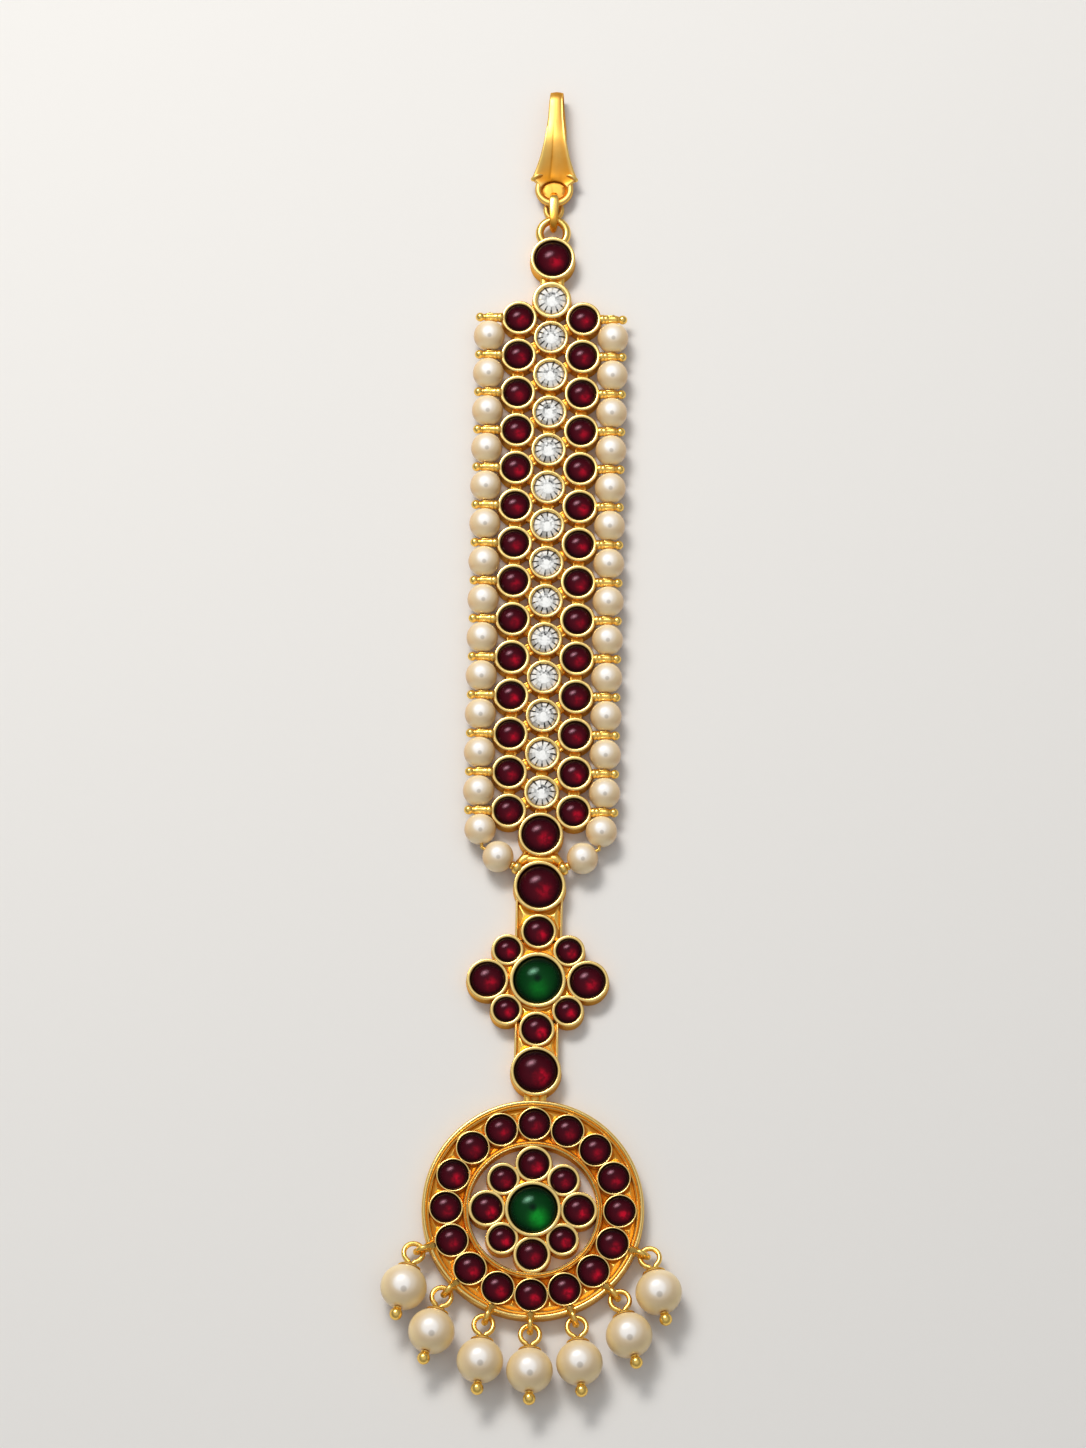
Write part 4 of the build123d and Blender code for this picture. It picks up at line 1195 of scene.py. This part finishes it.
def hook_stations():
    """Places along the ribbon: its middle, outward normal and two edges in x, how far its section has
    opened out, and how far its middle is drawn up round the eye's oval."""
    top = HOOK_HIGH.y
    bend_r = (BLADE_LEVEL - RETURN_LEVEL) / 2
    bend_y = top - bend_r - BLADE_THICK / 2
    stations = []

    # the blade, from the throat up to the bend
    foot_y, crest_y = top - 12.2, top - 6.4
    low_y = OVAL_Y + OVAL_HALF_Y - THROAT_RISE
    climb = BLADE_LEVEL - THROAT_LEVEL
    steps = 46
    for i in range(steps + 1):
        y = low_y + (bend_y - low_y) * i / steps
        t = progress(y, foot_y, crest_y)
        slope = climb * 6 * t * (1 - t) / (crest_y - foot_y)
        bow = max(0.0, 1 - (y - low_y) / 1.3) ** 1.5
        z = THROAT_LEVEL + climb * t * t * (3 - 2 * t) - 0.12 * bow
        half = half_at(top - y)
        normal = Vector((0, -slope, 1)).normalized()
        stations.append(Station(y, z, normal, -half, half, progress(top - y, 4.2, 9.2), bow))

    # the bend
    steps = 12
    for i in range(1, steps + 1):
        turn = pi / 2 - pi * i / steps
        normal = Vector((0, cos(turn), sin(turn)))
        y, z = bend_y + bend_r * cos(turn), (BLADE_LEVEL + RETURN_LEVEL) / 2 + bend_r * sin(turn)
        stations.append(Station(y, z, normal, -0.84 + 0.3 * i / steps, 0.84 + 0.28 * i / steps, 0.0, 0.0))

    # the return arm, which widens and is rounded off at its end
    end_y = EYE_CENTRE_Y - 0.55
    steps = 26
    for i in range(1, steps + 1):
        y = bend_y + (end_y - bend_y) * i / steps
        t = min(1.0, (bend_y - y) / 3.4)
        near = max(0.0, 1 - (y - end_y) / 2.6)
        spread = sin(pi / 2 * min(1.0, near * 1.4))
        left, right = -0.54 + 0.04 * t - spread, 1.12 + 0.34 * t + 0.05 * spread
        tip = max(0.0, 1 - (y - end_y) / 1.5)
        pull = 0.8 * (1 - sqrt(max(0.0, 1 - tip**2)))
        centre = (left + right) / 2
        left, right = left + (centre - left) * pull, right + (centre - right) * pull
        stations.append(Station(y, RETURN_LEVEL, -UP, left, right, 0.0, 0.0))
    return stations


def hook_ribbon():
    """The blade, its bend and its return arm, as one ribbon through the stations."""
    top = HOOK_HIGH.y
    points, marks = [], []
    stations = hook_stations()
    for y, z, normal, left, right, opened, bow in stations:
        section = [
            (across, high + (low - high) * opened, high_polish_and_shading + (low_polish_and_shading - high_polish_and_shading) * opened)
            for across, high, high_polish_and_shading, low, low_polish_and_shading in FACE_SECTION
        ]
        for across, lift, polish_and_shading in section + BACK_SECTION:
            x = (left + right) / 2 + (right - left) / 2 * across
            drawn = bow * (OVAL_HALF_Y * (sqrt(max(0.0, 1 - (x / 1.75) ** 2)) - 1) + THROAT_RISE)
            points.append(Vector((x, y + drawn, z)) + normal * (lift * BLADE_THICK / 2))
            # painted shade in the hollow between the wings, and towards the bend
            hollow = progress(top - y, 8.9, 11.5) * (1 - abs(across) ** 4)
            marks.append(polish_and_shading * (1 - 0.95 * hollow) * (1 - 0.6 * progress(y, top - 1.7, top - 0.8)))
    count = len(FACE_SECTION) + len(BACK_SECTION)
    faces = stitched(even_rings(len(stations), count))
    for start in (0, (len(stations) - 1) * count):
        for i in range(len(FACE_SECTION) - 1):
            faces.append((start + i, start + i + 1, start + count - 2 - i, start + count - 1 - i))
    return points, faces, marks


def hook_eye():
    """The eye: a round ring whose oval middle is filled by a plain satin plate."""
    sides = 64
    # the ring, as (share of the way in, lift, polish with painted shading), then the plate, as (share
    # of the oval, lift, polish with painted shading)
    levels = [(0.0, -0.30, 0.2), (0.0, 0.1, 0.5), (0.05, 0.28, 0.7), (0.18, 0.40, 0.8), (0.4, 0.45, 0.75),
              (0.66, 0.42, 0.7), (0.86, 0.32, 0.5), (0.98, 0.14, 0.2), (1.0, -0.1, 0.0)]
    plate_levels = [(0.97, -0.12, 0.0), (0.9, 0.02, 0.2), (0.6, 0.06, 0.3), (0.3, 0.06, 0.3)]
    points, marks = [], []

    def add_ring(share, lift, polish_and_shading, scale=1.0):
        for i in range(sides):
            turn = tau * i / sides
            outer = Vector((EYE_HALF_X * cos(turn), EYE_CENTRE_Y + EYE_HALF_Y * sin(turn)))
            inner = Vector((OVAL_HALF_X * scale * cos(turn), OVAL_Y + OVAL_HALF_Y * scale * sin(turn)))
            points.append((*(outer + (inner - outer) * share), EYE_LEVEL + lift))
            marks.append(polish_and_shading)

    for share, lift, polish_and_shading in levels:
        add_ring(share, lift, polish_and_shading)
    for scale, lift, polish_and_shading in plate_levels:
        add_ring(1.0, lift, polish_and_shading, scale)
    rings = even_rings(len(levels) + len(plate_levels), sides)
    return points, [*stitched(rings), tuple(rings[-1]), tuple(reversed(rings[0]))], marks


def hook():
    """Ribbon, eye, the folded tips of the wings, and the small flat ring behind the link."""
    casting = Casting()
    casting.add(hook_ribbon())
    casting.add(hook_eye())
    wing_y = HOOK_HIGH.y - WING_BELOW
    # each fold from the tip inwards: across, above the tip, level, and the roll's radius
    fold = [(2.74, -0.03, 2.05, 0.25), (2.56, 0.17, 2.22, 0.27), (2.28, 0.35, 2.34, 0.24),
            (1.96, 0.47, 2.36, 0.18), (1.6, 0.53, 2.26, 0.08)]
    for side in (-1, 1):
        path = [(side * across, wing_y + above, level) for across, above, level, _ in fold]
        casting.add(wire(path, [radius for *_, radius in fold], 14, polish_and_shading=1.0))
        casting.add(ball(0.3, 16, 1.0), at(side * 2.76, wing_y, 1.95))
    back_ring = arc((0, EYE_CENTRE_Y - 2.6, 0.62), (1.0, 1.15), 0, 360, 32)
    casting.add(wire(back_ring, 0.34, 12, closed=True, polish_and_shading=0.7))
    casting.finish("hook_body", HOOK_GOLD, "gold", "hook")


top_loop()
link()
hook()


# ------------ studio
def floor():
    """A plain pale table that rises into a soft cove all round. Its profile is in metres."""
    profile = [(0.0, 0.0), (0.5, 0.0), (1.3, 0.0), (1.6, 0.03)]
    profile += [(1.8, 0.14), (1.92, 0.32), (1.96, 0.6), (1.98, 1.1)]
    points, faces, _ = turned([(r, z, 0) for r, z in profile], 96)
    mesh = bpy.data.meshes.new("table")
    mesh.from_pydata(points, [], faces)
    mesh.polygons.foreach_set("use_smooth", [True] * len(mesh.polygons))
    paper, _, _ = new_material("table_paper", Roughness=0.9, Base_Color=(0.80, 0.78, 0.75, 1))
    mesh.materials.append(paper)
    table = bpy.data.objects.new("table", mesh)
    bpy.context.scene.collection.objects.link(table)


KEY_SIDE = Vector((-0.28, 0.56, 0.8)).normalized()  # where the key light stands
KEY_TINT = (1.0, 0.985, 0.96)


def softbox(name, distance, width, depth, radiance):
    """A soft oval lamp that faces the middle of the ornament, by its size and the brightness of its
    face."""
    lamp = bpy.data.lights.new(name, "AREA")
    lamp.shape, lamp.size, lamp.size_y, lamp.color = "ELLIPSE", width, depth, KEY_TINT
    lamp.energy = radiance * pi * (pi / 4 * width * depth)
    holder = bpy.data.objects.new(name, lamp)
    holder.location = KEY_SIDE * distance
    holder.rotation_mode = "QUATERNION"
    holder.rotation_quaternion = KEY_SIDE.to_track_quat("Z", "Y")
    holder.visible_camera = False
    bpy.context.scene.collection.objects.link(holder)


def studio():
    """A key light with a bright core, and a dim room that is lighter overhead."""
    world = bpy.data.worlds.new("studio")
    bpy.context.scene.world = world
    world.use_nodes = True
    sky = world.node_tree.nodes["Background"]
    sky.inputs["Color"].default_value = (0.95, 0.97, 1.0, 1)
    bench = Bench(world.node_tree)
    height = bench.split(bench.node("TexCoord").outputs["Generated"])[2]
    bench.feed(sky.inputs["Strength"], bench.between(height, 0.45, 1.0, 0.28, 0.66))
    softbox("key_veil", 0.65, 0.42, 0.24, 8.5)
    softbox("key_core", 0.64, 0.2, 0.11, 17.0)


CAMERA_TILT, CAMERA_ROLL = radians(15), radians(1.2)
CAMERA_DISTANCE = 0.9
CAMERA_TARGET = Vector((0.0, 0.0012, 0.0022))
SENSOR_MM, LENS_MM = 36.0, 176.8


def camera():
    """Looks down steeply from the drops' end, with a slight roll."""
    back = Vector((0, -sin(CAMERA_TILT), cos(CAMERA_TILT)))
    level_right, level_up = Vector((1, 0, 0)), Vector((0, cos(CAMERA_TILT), sin(CAMERA_TILT)))
    right = level_right * cos(CAMERA_ROLL) + level_up * sin(CAMERA_ROLL)
    up = level_up * cos(CAMERA_ROLL) - level_right * sin(CAMERA_ROLL)
    lens = bpy.data.cameras.new("camera")
    lens.sensor_fit, lens.sensor_height, lens.lens = "VERTICAL", SENSOR_MM, LENS_MM
    lens.clip_start, lens.clip_end = 0.05, 10.0
    holder = bpy.data.objects.new("camera", lens)
    turn = Matrix((right, up, back)).transposed().to_4x4()
    holder.matrix_world = Matrix.Translation(CAMERA_TARGET + back * CAMERA_DISTANCE) @ turn
    bpy.context.scene.collection.objects.link(holder)
    bpy.context.scene.camera = holder


floor()
studio()
camera()
bpy.context.scene.view_settings.view_transform = "Standard"
